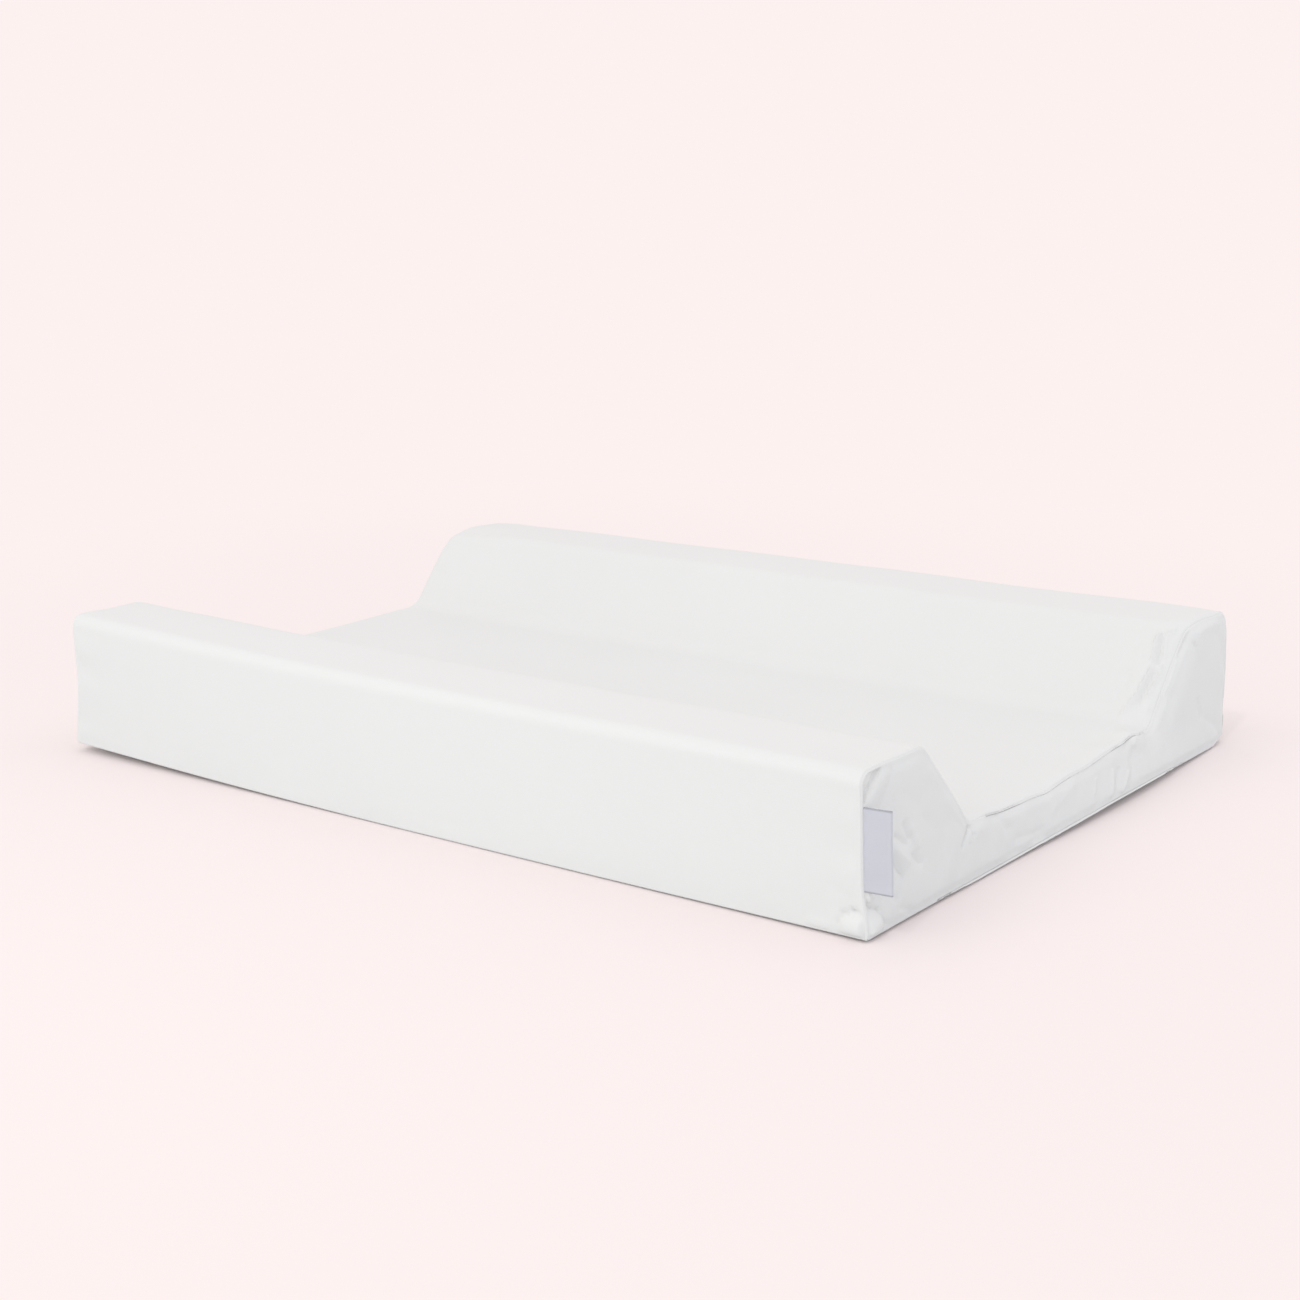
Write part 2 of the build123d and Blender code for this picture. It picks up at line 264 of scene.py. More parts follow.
def settle(points, cover):
    """How the pad sits: moves in millimetres that each fade smoothly, along x from a given place to the end
    and across y and z as a step or a hump, into the rest of the pad."""
    x, y, z = points[..., 0], points[..., 1], points[..., 2]

    def right(start):
        return smooth(x, start, HALF_LENGTH)

    def left(start):
        return smooth(-x, start, HALF_LENGTH)

    # the tight cover curls the front corners up with the square of the distance from the middle
    corner = np.where(x > 0, cover.curl_right, cover.curl_left) / MM
    rise = corner * (x / HALF_LENGTH) ** 2 * (1 - smooth(y, -HALF_WIDTH, 225))
    # the right end's lower edge rises behind its middle, and so does the foot of its rear corner
    gape = np.clip(np.cos(np.pi * (y - 80) / 380), 0, 1) ** 2
    rise += cover.lift / MM * right(250) * gape * (1 - 0.76 * smooth(z, 0, 45))
    rise += 4.5 * right(350) * smooth(y, 228, HALF_WIDTH) * (1 - smooth(z, 0, 25))
    # the right front corner's top is drawn down, and the front land swells along its middle
    rise -= 1.6 * right(340) * smooth(z, 70, 100) * hump(y + HALF_WIDTH, 16)
    rise += 1.6 * (1 - (x / HALF_LENGTH) ** 2) * hump(y + 190, 30) * smooth(z, 70, 100)
    # the right end's seam is drawn down at both feet of the slopes, and runs in waves beside the seat
    feet = hump(y + 129, 9) + 0.7 * hump(y - 129, 9)
    rise -= 2.2 * right(345) * feet * smooth(z, 30, 40) * (1 - smooth(z, 52, 66))
    wave = 2.5 * hump(y - 97, 11) + 2.5 * hump(y - 66, 30) + 1.2 * hump(y - 8, 16)
    wave += 1.0 * hump(y + 106, 12) - 1.8 * hump(y + 28, 12)
    rise += wave * right(352) * smooth(z, 26, 38) * (1 - smooth(z, 60, 75))
    # the left end's seam holds the seat up level
    rise += 5.0 * left(200) * np.clip(1 - (y / 129) ** 2, 0, 1) * smooth(z, 20, 36)
    # the rear bolster is pressed down a little, more so at its left end's edges, and bulges at its right end
    rise -= cover.press / MM * smooth(y, 120, 190) * smooth(z, 45, 100)
    rise -= 4.0 * left(290) * hump(y - 186, 16) * smooth(z, 80, 104)
    rise -= 2.0 * left(335) * smooth(y, 212, HALF_WIDTH) * smooth(z, 80, 104)
    rise += 1.8 * right(340) * hump(y - 208, 18) * smooth(z, 70, 100)
    # the foot of the left front corner is pushed outwards, and the right front corner leans inwards
    shift = -cover.push / MM * left(300) * smooth(-y, 150, HALF_WIDTH) * (1 - smooth(z, 0, 60))
    shift -= cover.lean / MM * right(310) * smooth(-y, 205, HALF_WIDTH - 4) * smooth(z, 4, 34)
    # the right end's foot stands out where its edge rises, and its rear corner stands back
    shift += 6.0 * right(330) * gape * (1 - smooth(z, 0, 34))
    shift -= 1.5 * right(340) * smooth(y, 222, HALF_WIDTH) * (1 - smooth(z, 20, 60))
    return np.stack([x + shift, y, z + rise], -1)


# ---- Mesh helpers ----------------------------------------------------------------
def table_faces(table):
    """Quads between neighbouring rows and columns of a table of vertex numbers."""
    return np.stack([table[:-1, :-1], table[:-1, 1:], table[1:, 1:], table[1:, :-1]], -1).reshape(-1, 4)


def grid_faces(rows, columns, ring=False):
    """Quads of a whole grid; ring joins its last column to the first."""
    table = np.arange(rows * columns).reshape(rows, columns)
    return table_faces(np.column_stack([table, table[:, :1]]) if ring else table)


def tube_faces(rows, columns):
    """Faces of a closed tube: the quads of its rings, and a cap at each end."""
    caps = [list(range(columns))[::-1], [(rows - 1) * columns + k for k in range(columns)]]
    return grid_faces(rows, columns, ring=True).tolist() + caps


def make_piece(name, points, faces, uv=None, flip=False):
    """An object at the origin from points in millimetres, faces and a UV per point in metres."""
    points = np.asarray(points, float).reshape(-1, 3)
    faces = faces.tolist() if hasattr(faces, "tolist") else faces
    faces = [list(f)[::-1] if flip else list(f) for f in faces]
    mesh = bpy.data.meshes.new(name)
    mesh.from_pydata((points * MM).tolist(), [], faces)
    mesh.polygons.foreach_set("use_smooth", np.ones(len(mesh.polygons), bool))
    if uv is not None:
        corner = np.zeros(len(mesh.loops), np.int32)
        mesh.loops.foreach_get("vertex_index", corner)
        layer = mesh.uv_layers.new(name="Cloth")
        layer.data.foreach_set("uv", np.asarray(uv, np.float32).reshape(-1, 2)[corner].ravel())
    mesh.validate()
    mesh.update()
    piece = bpy.data.objects.new(name, mesh)
    bpy.context.scene.collection.objects.link(piece)
    return piece


def thicken(piece, thickness, turned_in):
    """Gives a sheet its thickness, inwards from its face, and a quarter of it where it is turned in at a
    seam."""
    wall = piece.modifiers.new("Cloth thickness", "SOLIDIFY")
    wall.thickness = thickness
    wall.offset = -1.0
    wall.use_even_offset = False
    seam = piece.vertex_groups.new(name="turned_in")
    seam.add(np.flatnonzero(turned_in).tolist(), 1.0, "REPLACE")
    wall.vertex_group = seam.name
    wall.invert_vertex_group = True
    wall.thickness_vertex_group = 0.25


# ---- Materials ---------------------------------------------------------------------
def add(tree, kind, inputs=None, **settings):
    """Adds a shader node, sets its options and sockets, and links the sockets that are given another node's
    output."""
    node = tree.nodes.new(kind)
    for key, value in settings.items():
        setattr(node, key, value)
    for key, value in (inputs or {}).items():
        if isinstance(value, bpy.types.NodeSocket):
            tree.links.new(value, node.inputs[key])
        else:
            node.inputs[key].default_value = value
    return node


def new_material(name):
    """A material without nodes, and its tree."""
    material = bpy.data.materials.new(name)
    material.use_nodes = True
    material.node_tree.nodes.clear()
    return material, material.node_tree


def shaded(colour, share):
    """A colour at a share of its own lightness."""
    return [part * share for part in colour[:3]] + [1]


def coated_knit(colours):
    """Polyester knit laminated with polyurethane and calendered matt: nearly white, an even soft sheen that
    breaks at the creases, and the knit's fine grain just telling through the film."""
    material, tree = new_material("coated_polyester_knit")
    place = add(tree, "ShaderNodeTexCoord").outputs
    cloudy = add(tree, "ShaderNodeTexNoise", {"Vector": place["Object"], "Scale": 9.0, "Detail": 3.0})
    handled = add(tree, "ShaderNodeTexNoise", {"Vector": place["Object"], "Scale": 45.0, "Detail": 4.0})
    tones = {0: cloudy.outputs["Fac"], 6: shaded(colours.cover, 0.975), 7: colours.cover}
    tone = add(tree, "ShaderNodeMix", tones, data_type="RGBA")
    gloss = add(tree, "ShaderNodeMapRange", {"Value": handled.outputs["Fac"], "To Min": 0.40, "To Max": 0.52})
    # knit courses 0.6 mm apart are too fine for the render, so they are drawn 1.2 mm apart
    knitted = {"Vector": place["UV"], "Distortion": 0.6, "Detail": 1.0}
    wales = add(tree, "ShaderNodeTexWave", {**knitted, "Scale": BAND / 0.0012})
    courses = add(tree, "ShaderNodeTexWave", {**knitted, "Scale": BAND / 0.0015}, bands_direction="Y")
    loops = {0: wales.outputs["Fac"], 1: courses.outputs["Fac"]}
    grain = add(tree, "ShaderNodeMath", loops, operation="MULTIPLY")
    film = add(tree, "ShaderNodeTexNoise", {"Vector": place["Object"], "Scale": 260.0, "Detail": 2.0})
    skin = add(tree, "ShaderNodeBump", {"Height": film.outputs["Fac"], "Strength": 0.10, "Distance": 0.0006})
    relief = {"Height": grain.outputs["Value"], "Strength": 0.06, "Distance": 0.0003}
    knit = add(tree, "ShaderNodeBump", {**relief, "Normal": skin.outputs["Normal"]})
    look = {"Base Color": tone.outputs[2], "Roughness": gloss.outputs["Result"], "IOR": 1.48}
    shader = add(tree, "ShaderNodeBsdfPrincipled", {**look, "Normal": knit.outputs["Normal"]})
    add(tree, "ShaderNodeOutputMaterial", {"Surface": shader.outputs["BSDF"]})
    return material


def woven_underside(colours):
    """Plain-woven polyester with a thin acrylic backing: off-white, dull, a visible square weave."""
    material, tree = new_material("woven_polyester_underside")
    place = add(tree, "ShaderNodeTexCoord").outputs
    # yarns 0.9 mm apart, drawn 1.8 mm apart so that the weave shows
    yarn = {"Vector": place["UV"], "Scale": BAND / 0.0018, "Distortion": 0.4}
    warp = add(tree, "ShaderNodeTexWave", yarn)
    weft = add(tree, "ShaderNodeTexWave", yarn, bands_direction="Y")
    cell = add(tree, "ShaderNodeMath", {0: warp.outputs["Fac"], 1: weft.outputs["Fac"]}, operation="MULTIPLY")
    # the cloth is painted darker where the weave sinks between its yarns: painted shade in the weave's
    # hollows
    tones = {0: cell.outputs["Value"], 6: shaded(colours.underside, 0.86), 7: colours.underside}
    tone = add(tree, "ShaderNodeMix", tones, data_type="RGBA")
    relief = {"Height": cell.outputs["Value"], "Strength": 0.35, "Distance": 0.0004}
    weave = add(tree, "ShaderNodeBump", relief)
    look = {"Base Color": tone.outputs[2], "Roughness": 0.78, "IOR": 1.5, "Normal": weave.outputs["Normal"]}
    shader = add(tree, "ShaderNodeBsdfPrincipled", look)
    add(tree, "ShaderNodeOutputMaterial", {"Surface": shader.outputs["BSDF"]})
    return material


def satin_ribbon(colours):
    """Polyester satin ribbon, slit and its edges fused by heat: pale lilac grey, with a silky sheen stretched
    across its weft."""
    material, tree = new_material("polyester_satin_ribbon")
    place = add(tree, "ShaderNodeTexCoord").outputs
    # weft floats 0.35 mm apart, drawn 0.9 mm apart
    weft = {"Vector": place["UV"], "Scale": BAND / 0.0009, "Distortion": 1.5, "Detail": 2.0}
    floats = add(tree, "ShaderNodeTexWave", weft, bands_direction="Y")
    shade = add(tree, "ShaderNodeTexNoise", {"Vector": place["Object"], "Scale": 60.0, "Detail": 2.0})
    tones = {0: shade.outputs["Fac"], 6: shaded(colours.ribbon, 0.93), 7: colours.ribbon}
    tone = add(tree, "ShaderNodeMix", tones, data_type="RGBA")
    # the ribbon is painted darker in a band about a millimetre wide along its top and bottom edges
    low, high = (corner[2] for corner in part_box("corner_tag"))
    middle, half = (low + high) / 2, (high - low) / 2
    across = add(tree, "ShaderNodeSeparateXYZ", {0: place["UV"]})
    offset = add(tree, "ShaderNodeMath", {0: across.outputs["Y"], 1: middle}, operation="SUBTRACT")
    offset = add(tree, "ShaderNodeMath", {0: offset.outputs[0]}, operation="ABSOLUTE")
    edge_band = {"From Min": half - 0.0013, "From Max": half - 0.0005, "To Max": 0.55}
    edge = add(tree, "ShaderNodeMapRange", {"Value": offset.outputs[0], **edge_band})
    tones = {0: edge.outputs["Result"], 6: tone.outputs[2], 7: shaded(colours.ribbon, 0.45)}
    tone = add(tree, "ShaderNodeMix", tones, data_type="RGBA")
    relief = {"Height": floats.outputs["Fac"], "Strength": 0.15, "Distance": 0.0002}
    weave = add(tree, "ShaderNodeBump", relief)
    look = {"Base Color": tone.outputs[2], "Roughness": 0.34, "IOR": 1.54, "Normal": weave.outputs["Normal"]}
    shader = add(tree, "ShaderNodeBsdfPrincipled", {**look, "Anisotropic": 0.5, "Sheen Weight": 0.25})
    add(tree, "ShaderNodeOutputMaterial", {"Surface": shader.outputs["BSDF"]})
    return material


def woven_tape(colours):
    """Polyester zip tape woven in a tight herringbone: white, dull, with slanting ribs."""
    material, tree = new_material("woven_polyester_tape")
    place = add(tree, "ShaderNodeTexCoord").outputs
    turn = add(tree, "ShaderNodeMapping", {"Vector": place["UV"], "Rotation": (0, 0, 0.6)})
    slant = {"Vector": turn.outputs["Vector"], "Scale": BAND / 0.0010, "Distortion": 0.5}
    ribs = add(tree, "ShaderNodeTexWave", slant)
    # the tape is painted darker in the grooves between its ribs, where the bump sinks it: painted shade
    tones = {0: ribs.outputs["Fac"], 6: shaded(colours.tape, 0.88), 7: colours.tape}
    tone = add(tree, "ShaderNodeMix", tones, data_type="RGBA")
    weave = add(tree, "ShaderNodeBump", {"Height": ribs.outputs["Fac"], "Strength": 0.4, "Distance": 0.0003})
    look = {"Base Color": tone.outputs[2], "Roughness": 0.75, "IOR": 1.5, "Normal": weave.outputs["Normal"]}
    shader = add(tree, "ShaderNodeBsdfPrincipled", look)
    add(tree, "ShaderNodeOutputMaterial", {"Surface": shader.outputs["BSDF"]})
    return material


def moulded_acetal(colours):
    """Injection-moulded acetal: milky white, waxy half-gloss, faint flow marks."""
    material, tree = new_material("moulded_acetal")
    place = add(tree, "ShaderNodeTexCoord").outputs
    flow = add(tree, "ShaderNodeTexNoise", {"Vector": place["Object"], "Scale": 500.0, "Detail": 2.0})
    tones = {0: flow.outputs["Fac"], 6: linear("#ECECEA"), 7: linear("#F8F8F6")}
    tone = add(tree, "ShaderNodeMix", tones, data_type="RGBA")
    marks = add(tree, "ShaderNodeBump", {"Height": flow.outputs["Fac"], "Strength": 0.12, "Distance": 0.0002})
    look = {"Base Color": tone.outputs[2], "Roughness": 0.33, "IOR": 1.48, "Normal": marks.outputs["Normal"]}
    shader = add(tree, "ShaderNodeBsdfPrincipled", look)
    add(tree, "ShaderNodeOutputMaterial", {"Surface": shader.outputs["BSDF"]})
    return material


def lacquered_zinc(colours):
    """Die-cast zinc sprayed with white stoving lacquer: smooth, glossy, a slight orange peel."""
    material, tree = new_material("lacquered_die_cast_zinc")
    place = add(tree, "ShaderNodeTexCoord").outputs
    peel = add(tree, "ShaderNodeTexNoise", {"Vector": place["Object"], "Scale": 900.0, "Detail": 1.0})
    tones = {0: peel.outputs["Fac"], 6: linear("#E4E4E2"), 7: linear("#EFEFED")}
    spray = add(tree, "ShaderNodeMix", tones, data_type="RGBA")
    orange = add(tree, "ShaderNodeBump", {"Height": peel.outputs["Fac"], "Strength": 0.1, "Distance": 0.0001})
    look = {"Base Color": spray.outputs[2], "Roughness": 0.25, "IOR": 1.5, "Normal": orange.outputs["Normal"]}
    shader = add(tree, "ShaderNodeBsdfPrincipled", {**look, "Coat Weight": 0.6, "Coat Roughness": 0.08})
    add(tree, "ShaderNodeOutputMaterial", {"Surface": shader.outputs["BSDF"]})
    return material


def foam_block(colours):
    """Open-cell polyurethane foam, cut from the block: cream, dead matt, pitted with cells."""
    material, tree = new_material("cut_polyurethane_foam")
    place = add(tree, "ShaderNodeTexCoord").outputs
    # cells 0.6 mm across, drawn at 1.5 mm
    cells = add(tree, "ShaderNodeTexVoronoi", {"Vector": place["Object"], "Scale": 1 / 0.0015})
    # the foam is painted darker where the bump sinks its cells: painted shade in the pits
    tones = {0: cells.outputs["Distance"], 6: colours.foam, 7: shaded(colours.foam, 0.8)}
    tone = add(tree, "ShaderNodeMix", tones, data_type="RGBA")
    depth = {"Height": cells.outputs["Distance"], "Strength": 0.6, "Distance": 0.0006}
    pits = add(tree, "ShaderNodeBump", depth, invert=True)
    look = {"Base Color": tone.outputs[2], "Roughness": 0.95, "IOR": 1.45, "Normal": pits.outputs["Normal"]}
    shader = add(tree, "ShaderNodeBsdfPrincipled", look)
    add(tree, "ShaderNodeOutputMaterial", {"Surface": shader.outputs["BSDF"]})
    return material


def spun_thread(colours):
    """Spun polyester sewing thread: white, fuzzy-dull, two plies twisted."""
    material, tree = new_material("spun_polyester_thread")
    place = add(tree, "ShaderNodeTexCoord").outputs
    turn = add(tree, "ShaderNodeMapping", {"Vector": place["Object"], "Rotation": (0, 0.7, 0)})
    twist = add(tree, "ShaderNodeTexWave", {"Vector": turn.outputs["Vector"], "Scale": BAND / 0.0006})
    tones = {0: twist.outputs["Fac"], 6: linear("#DEDEDC"), 7: linear("#F4F4F2")}
    tone = add(tree, "ShaderNodeMix", tones, data_type="RGBA")
    look = {"Base Color": tone.outputs[2], "Roughness": 0.7, "IOR": 1.5}
    shader = add(tree, "ShaderNodeBsdfPrincipled", look)
    add(tree, "ShaderNodeOutputMaterial", {"Surface": shader.outputs["BSDF"]})
    return material


MAKERS = {
    "coated_polyester_knit": coated_knit,
    "woven_polyester_underside": woven_underside,
    "polyester_satin_ribbon": satin_ribbon,
    "woven_polyester_tape": woven_tape,
    "moulded_acetal": moulded_acetal,
    "lacquered_die_cast_zinc": lacquered_zinc,
    "cut_polyurethane_foam": foam_block,
    "spun_polyester_thread": spun_thread,
}


def material_for(key):
    """The named finish, made once."""
    return bpy.data.materials.get(key) or MAKERS[key](bpy.context.scene.changing_pad_colours)


def dress(piece, key):
    """Gives a piece or a CAD node its finish."""
    if piece.material_slots:
        for slot in piece.material_slots:
            slot.link = "DATA"
            slot.material = material_for(key)
    else:
        piece.data.materials.append(material_for(key))


# ---- Cloth beside the end seams --------------------------------------------------
def puckers(run, away, side, height):
    """Puckers beside an end seam, by the run along the seam and the distance away from it: waves of four
    lengths whose crests stand across the seam, taller where the seed bunches them, rising within 3 mm of
    the seam and dying out over half their length."""
    draw = np.random.default_rng(11 + side)
    total = np.zeros(np.broadcast(run, away).shape)
    for order, (wavelength, share) in enumerate(((9, 0.16), (14, 0.3), (23, 0.6), (37, 1.0))):
        bunch = smooth(ripple(run, 0 * run, 6 * wavelength, 40 + order + 7 * side), -0.4, 1.4)
        phase = draw.uniform(0, 2 * np.pi) + 0.9 * ripple(run, 0 * run, 4 * wavelength, 70 + order + 7 * side)
        crest = np.sin(2 * np.pi * run / wavelength + phase)
        total = total + share * bunch * crest * np.exp(-away / (0.55 * wavelength))
    return height * total * (1 - np.exp(-away / 3.0))


def folds(u, v, rows):
    """Creases and ridges along short segments, as a height at (u, v). Each row gives the segment's two
    ends, its height (below 0 a crease), its widths to the left and to the right of its run, and a power p:
    height . exp(-(distance / width)^p), so that p = 1 is a sharp line and 2 a soft one."""
    total = np.zeros(np.broadcast(u, v).shape)
    for u0, v0, u1, v1, height, wide_left, wide_right, power in rows:
        run = np.hypot(u1 - u0, v1 - v0)
        du, dv = (u1 - u0) / run, (v1 - v0) / run
        forth = (u - u0) * du + (v - v0) * dv
        aside = (v - v0) * du - (u - u0) * dv
        beyond = np.maximum(np.maximum(-forth, forth - run), 0)
        wide = np.where(aside > 0, wide_left, wide_right)
        end = min(wide_left, wide_right)
        total = total + height * np.exp(-((np.abs(aside) / wide) ** power) - (beyond / end) ** 2)
    return total


# folds in the right end panel, as (y, z) segments in millimetres
RIGHT_END_FOLDS = (
    # dent in the near top corner, its sharp fold line and the ridge beside it
    (-230, 106, -249, 86.5, -3.1, 1.0, 10.0, 1.0),
    (-231, 103, -248, 86.5, -2.5, 1.1, 1.3, 1.5),
    (-226, 101, -244, 85, 0.3, 6.0, 2.4, 1.6),
    (-221, 100, -234, 80, -0.8, 4.0, 2.0, 1.3),
    # fold over the lower corner of the tag's root
    (-251, 38, -244.5, 25, 2.6, 2.2, 1.8, 2.0),
    (-248, 23.5, -242.0, 19, -2.2, 1.5, 1.5, 1.3),
    # bottom corner: a bubble with a crease above it
    (-244, 7, -240, 7, 3.0, 6.5, 6.5, 3.0),
    (-245.5, 19, -238, 17, -1.6, 1.2, 1.4, 1.4),
    (-238, 17, -231, 6.5, -1.6, 1.2, 2.0, 1.3),
    (-231, 22, -221, 20, -1.7, 2.6, 2.0, 1.4),
    (-214, 10, -205, 7, -1.4, 3.0, 2.4, 1.4),
    (-222, 13, -214, 24, 0.9, 3.0, 3.0, 1.6),
    # soft hollows beside the tag
    (-210, 63, -205, 53, -2.1, 3.2, 2.4, 1.3),
    (-219, 58, -208, 50, -1.8, 2.2, 2.2, 1.3),
    (-203, 58, -196, 46, 1.2, 3.5, 3.0, 1.5),
    (-227, 50, -213, 32, -3.0, 2.2, 4.5, 1.2),
    (-218, 48, -206, 38, 1.2, 3.0, 3.0, 1.5),
    (-201, 40, -192, 33, -1.8, 3.0, 2.6, 1.4),
    (-238, 64, -229, 42, -1.2, 5.0, 5.0, 2.0),
    (-190, 62, -176, 50, -0.6, 5.0, 4.0, 1.5),
    (-212, 84, -196, 72, -0.5, 6.0, 5.0, 1.6),
    # the star where the near slope meets the seat
    (-131.5, 41, -141.5, 28, -1.9, 1.0, 1.6, 1.0),
    (-131, 41, -127, 32, -1.4, 1.5, 1.0, 1.0),
    (-130.5, 37, -132, 30, 0.8, 1.4, 1.4, 2.0),
    (-148, 52, -140, 44, 0.8, 3.0, 3.0, 2.0),
    # slanting ridges below the seat
    (31, 15, 36.5, 24, 1.0, 1.6, 1.2, 1.5),
    (52, 6, 61.5, 24, 1.5, 1.8, 1.3, 1.4),
    (68.5, 5, 80, 17, 1.5, 1.8, 1.3, 1.4),
    (58, 5, 69, 22, -1.2, 2.2, 2.2, 1.5),
    (83, 8, 94, 30, -1.0, 4.0, 3.0, 1.6),
    (-72, 14, -40, 9, -1.2, 4.0, 5.0, 1.5),
    (-24, 20, 6, 30, 0.9, 5.0, 5.0, 1.6),
    (-96, 36, -84, 24, -0.9, 4.0, 3.0, 1.5),
    (104, 44, 96, 34, 1.4, 2.6, 2.6, 1.6),
    (90, 42, 84, 33, -1.0, 2.6, 2.6, 1.6),
    # beside the far slope
    (131, 48, 150, 66, -1.2, 3.0, 2.4, 1.3),
    (150, 62, 168, 84, 1.0, 3.5, 3.5, 1.6),
    (173, 88, 187, 101, -1.2, 3.0, 2.4, 1.4),
    (232, 92, 246, 60, -0.9, 7.0, 5.0, 1.6),
    (196, 45, 203, 30, -1.1, 2.6, 2.6, 1.6),
    (200, 98, 226, 101, 0.9, 4.0, 4.0, 1.6),
    (214, 26, 236, 12, -1.0, 4.0, 4.0, 1.6),
)

# folds in the left end panel, as (y, z) segments in millimetres: like those of the other end, laid out afresh
LEFT_END_FOLDS = (
    (-248, 92, -226, 104, -1.6, 8.0, 3.0, 1.2),
    (-240, 82, -222, 97, 1.0, 4.0, 4.0, 2.0),
    (-246, 20, -232, 9, -1.5, 3.0, 3.0, 1.4),
    (-230, 58, -214, 36, -1.1, 5.0, 4.0, 1.6),
    (-131, 42, -143, 30, -1.5, 2.4, 2.0, 1.1),
    (-60, 8, -48, 22, 0.9, 3.0, 2.4, 1.6),
    (20, 7, 10, 24, 0.8, 3.0, 2.4, 1.6),
    (131, 41, 144, 27, -1.6, 2.0, 2.6, 1.1),
    (150, 64, 171, 88, -1.0, 4.0, 4.0, 1.6),
    (226, 103, 247, 86, -1.8, 3.0, 8.0, 1.2),
    (218, 52, 232, 36, -1.0, 4.0, 4.0, 1.8),
    (238, 10, 246, 22, -1.4, 3.0, 3.0, 1.4),
)

# folds in the wrap, as (x, z) segments: in the front wall, and in the rear bolster's slope
FRONT_WALL_FOLDS = (
    (362, 6, 371, 6, 3.0, 7.0, 7.0, 3.5),
    (353, 8, 358, 14.5, -1.4, 1.2, 1.6, 1.4),
    (358, 14.5, 366, 17.5, -1.8, 1.2, 1.6, 1.4),
    (366, 17.5, 373.5, 16.5, -1.8, 1.2, 1.6, 1.4),
    (352, 30, 366, 26, -0.5, 5.0, 4.0, 1.6),
    (346, 3, 334, 3, 0.8, 4.0, 4.0, 2.0),
)
REAR_SLOPE_FOLDS = (
    (350, 52, 354, 100, 1.2, 5.0, 7.0, 2.0),
    (358, 54, 362, 76, -1.9, 1.2, 2.2, 1.2),
    (362, 82, 357, 99, -2.1, 1.2, 2.2, 1.1),
    (354, 58, 358, 77, 1.9, 1.0, 2.0, 1.3),
    (357, 81, 353, 96, 1.9, 1.0, 2.0, 1.3),
    (354, 98, 366, 104, 1.7, 1.2, 2.0, 1.3),
    (349, 46, 353, 56, 1.9, 1.4, 2.4, 1.3),
    (364, 60, 368, 80, 1.4, 1.4, 2.0, 1.5),
    (366, 86, 362, 98, 1.4, 1.4, 2.0, 1.5),
    (342, 92, 345, 74, 0.7, 2.4, 4.0, 1.5),
    (344, 70, 339, 58, -0.7, 2.4, 4.0, 1.5),
)


def seam_share(y, z):
    """How much of the full roll an end seam has: less along the floor, and less beside the seat and the rear
    slope, where the cloth lies smooth across the seam."""
    floor = 1 - 0.4 * (1 - smooth(z, 2, 12))
    return floor * (1 - 0.35 * smooth(y, -134, -116) * (1 - smooth(y, 176, 190)) * (z > 30))


# how far the end seams are drawn in over the foam's soft edge, as (y, millimetres): most on the rear slope
RIGHT_SOFTNESS = (
    *((-252, 0.8), (-178, 1.0), (-134, 1.0), (-112, 3.0), (112, 3.0)),
    *((136, 10.0), (172, 9.5), (196, 4.0), (230, 3.0), (252, 2.2)),
)
LEFT_SOFTNESS = (
    *((-252, 0.8), (-236, 1.6), (-215, 3.3), (-190, 3.3), (-178, 1.0)),
    *((112, 1.0), (136, 3.6), (172, 2.6), (196, 2.4), (252, 4.0)),
)


def softness(y, z, side):
    """How far an end seam is drawn in at a point of the cross-section: the table's value on the upper side,
    and none on the walls."""
    upper = np.interp(y, *zip(*(RIGHT_SOFTNESS if side > 0 else LEFT_SOFTNESS)))
    return upper * smooth(z, 24, 36) * np.where(np.abs(y) > HALF_WIDTH - 3, smooth(z, 82, 104), 1)


def drawn_in(distance, soft):
    """Move of the cloth, both into the foam and away from the end, at a distance from the seam:
    0.7 s . exp(-distance / 1.4 s), which slants both faces of a square edge, and none beyond 30 mm."""
    return 0.7 * soft * np.exp(-distance / (1.4 * soft + 0.01)) * (1 - smooth(distance, 12, 30))


def end_stations(roll, fine=1.3, coarse=7.0):
    """Stations along the pad as (x, depth of the roll-in), from the left end to the right."""
    inner = HALF_LENGTH - roll[0, 0]
    flat = spaced(-inner, inner, lambda x: fine + (coarse - fine) * smooth(inner - np.abs(x), 30, 110))
    left = np.column_stack([-(HALF_LENGTH - roll[:0:-1, 0]), roll[:0:-1, 1]])
    right = np.column_stack([HALF_LENGTH - roll[1:, 0], roll[1:, 1]])
    return np.vstack([left, np.column_stack([flat, 0 * flat]), right])


def end_outline(settings):
    """The end panel's closed outline as (y, z): the cross-section, and the underside with its corners
    rounded."""
    line = section(settings)
    line = line[line[:, 1] > 4]
    low = [(-HALF_WIDTH, 20), (-HALF_WIDTH, 0), (HALF_WIDTH, 0), (HALF_WIDTH, 20)]
    front = fillet((0, 0), low[1], low[0], 3.0, 12)
    rear = fillet(low[3], low[2], (0, 0), 3.0, 12)
    outline = np.vstack([front, line, rear])
    return np.vstack([outline, outline[:1]])


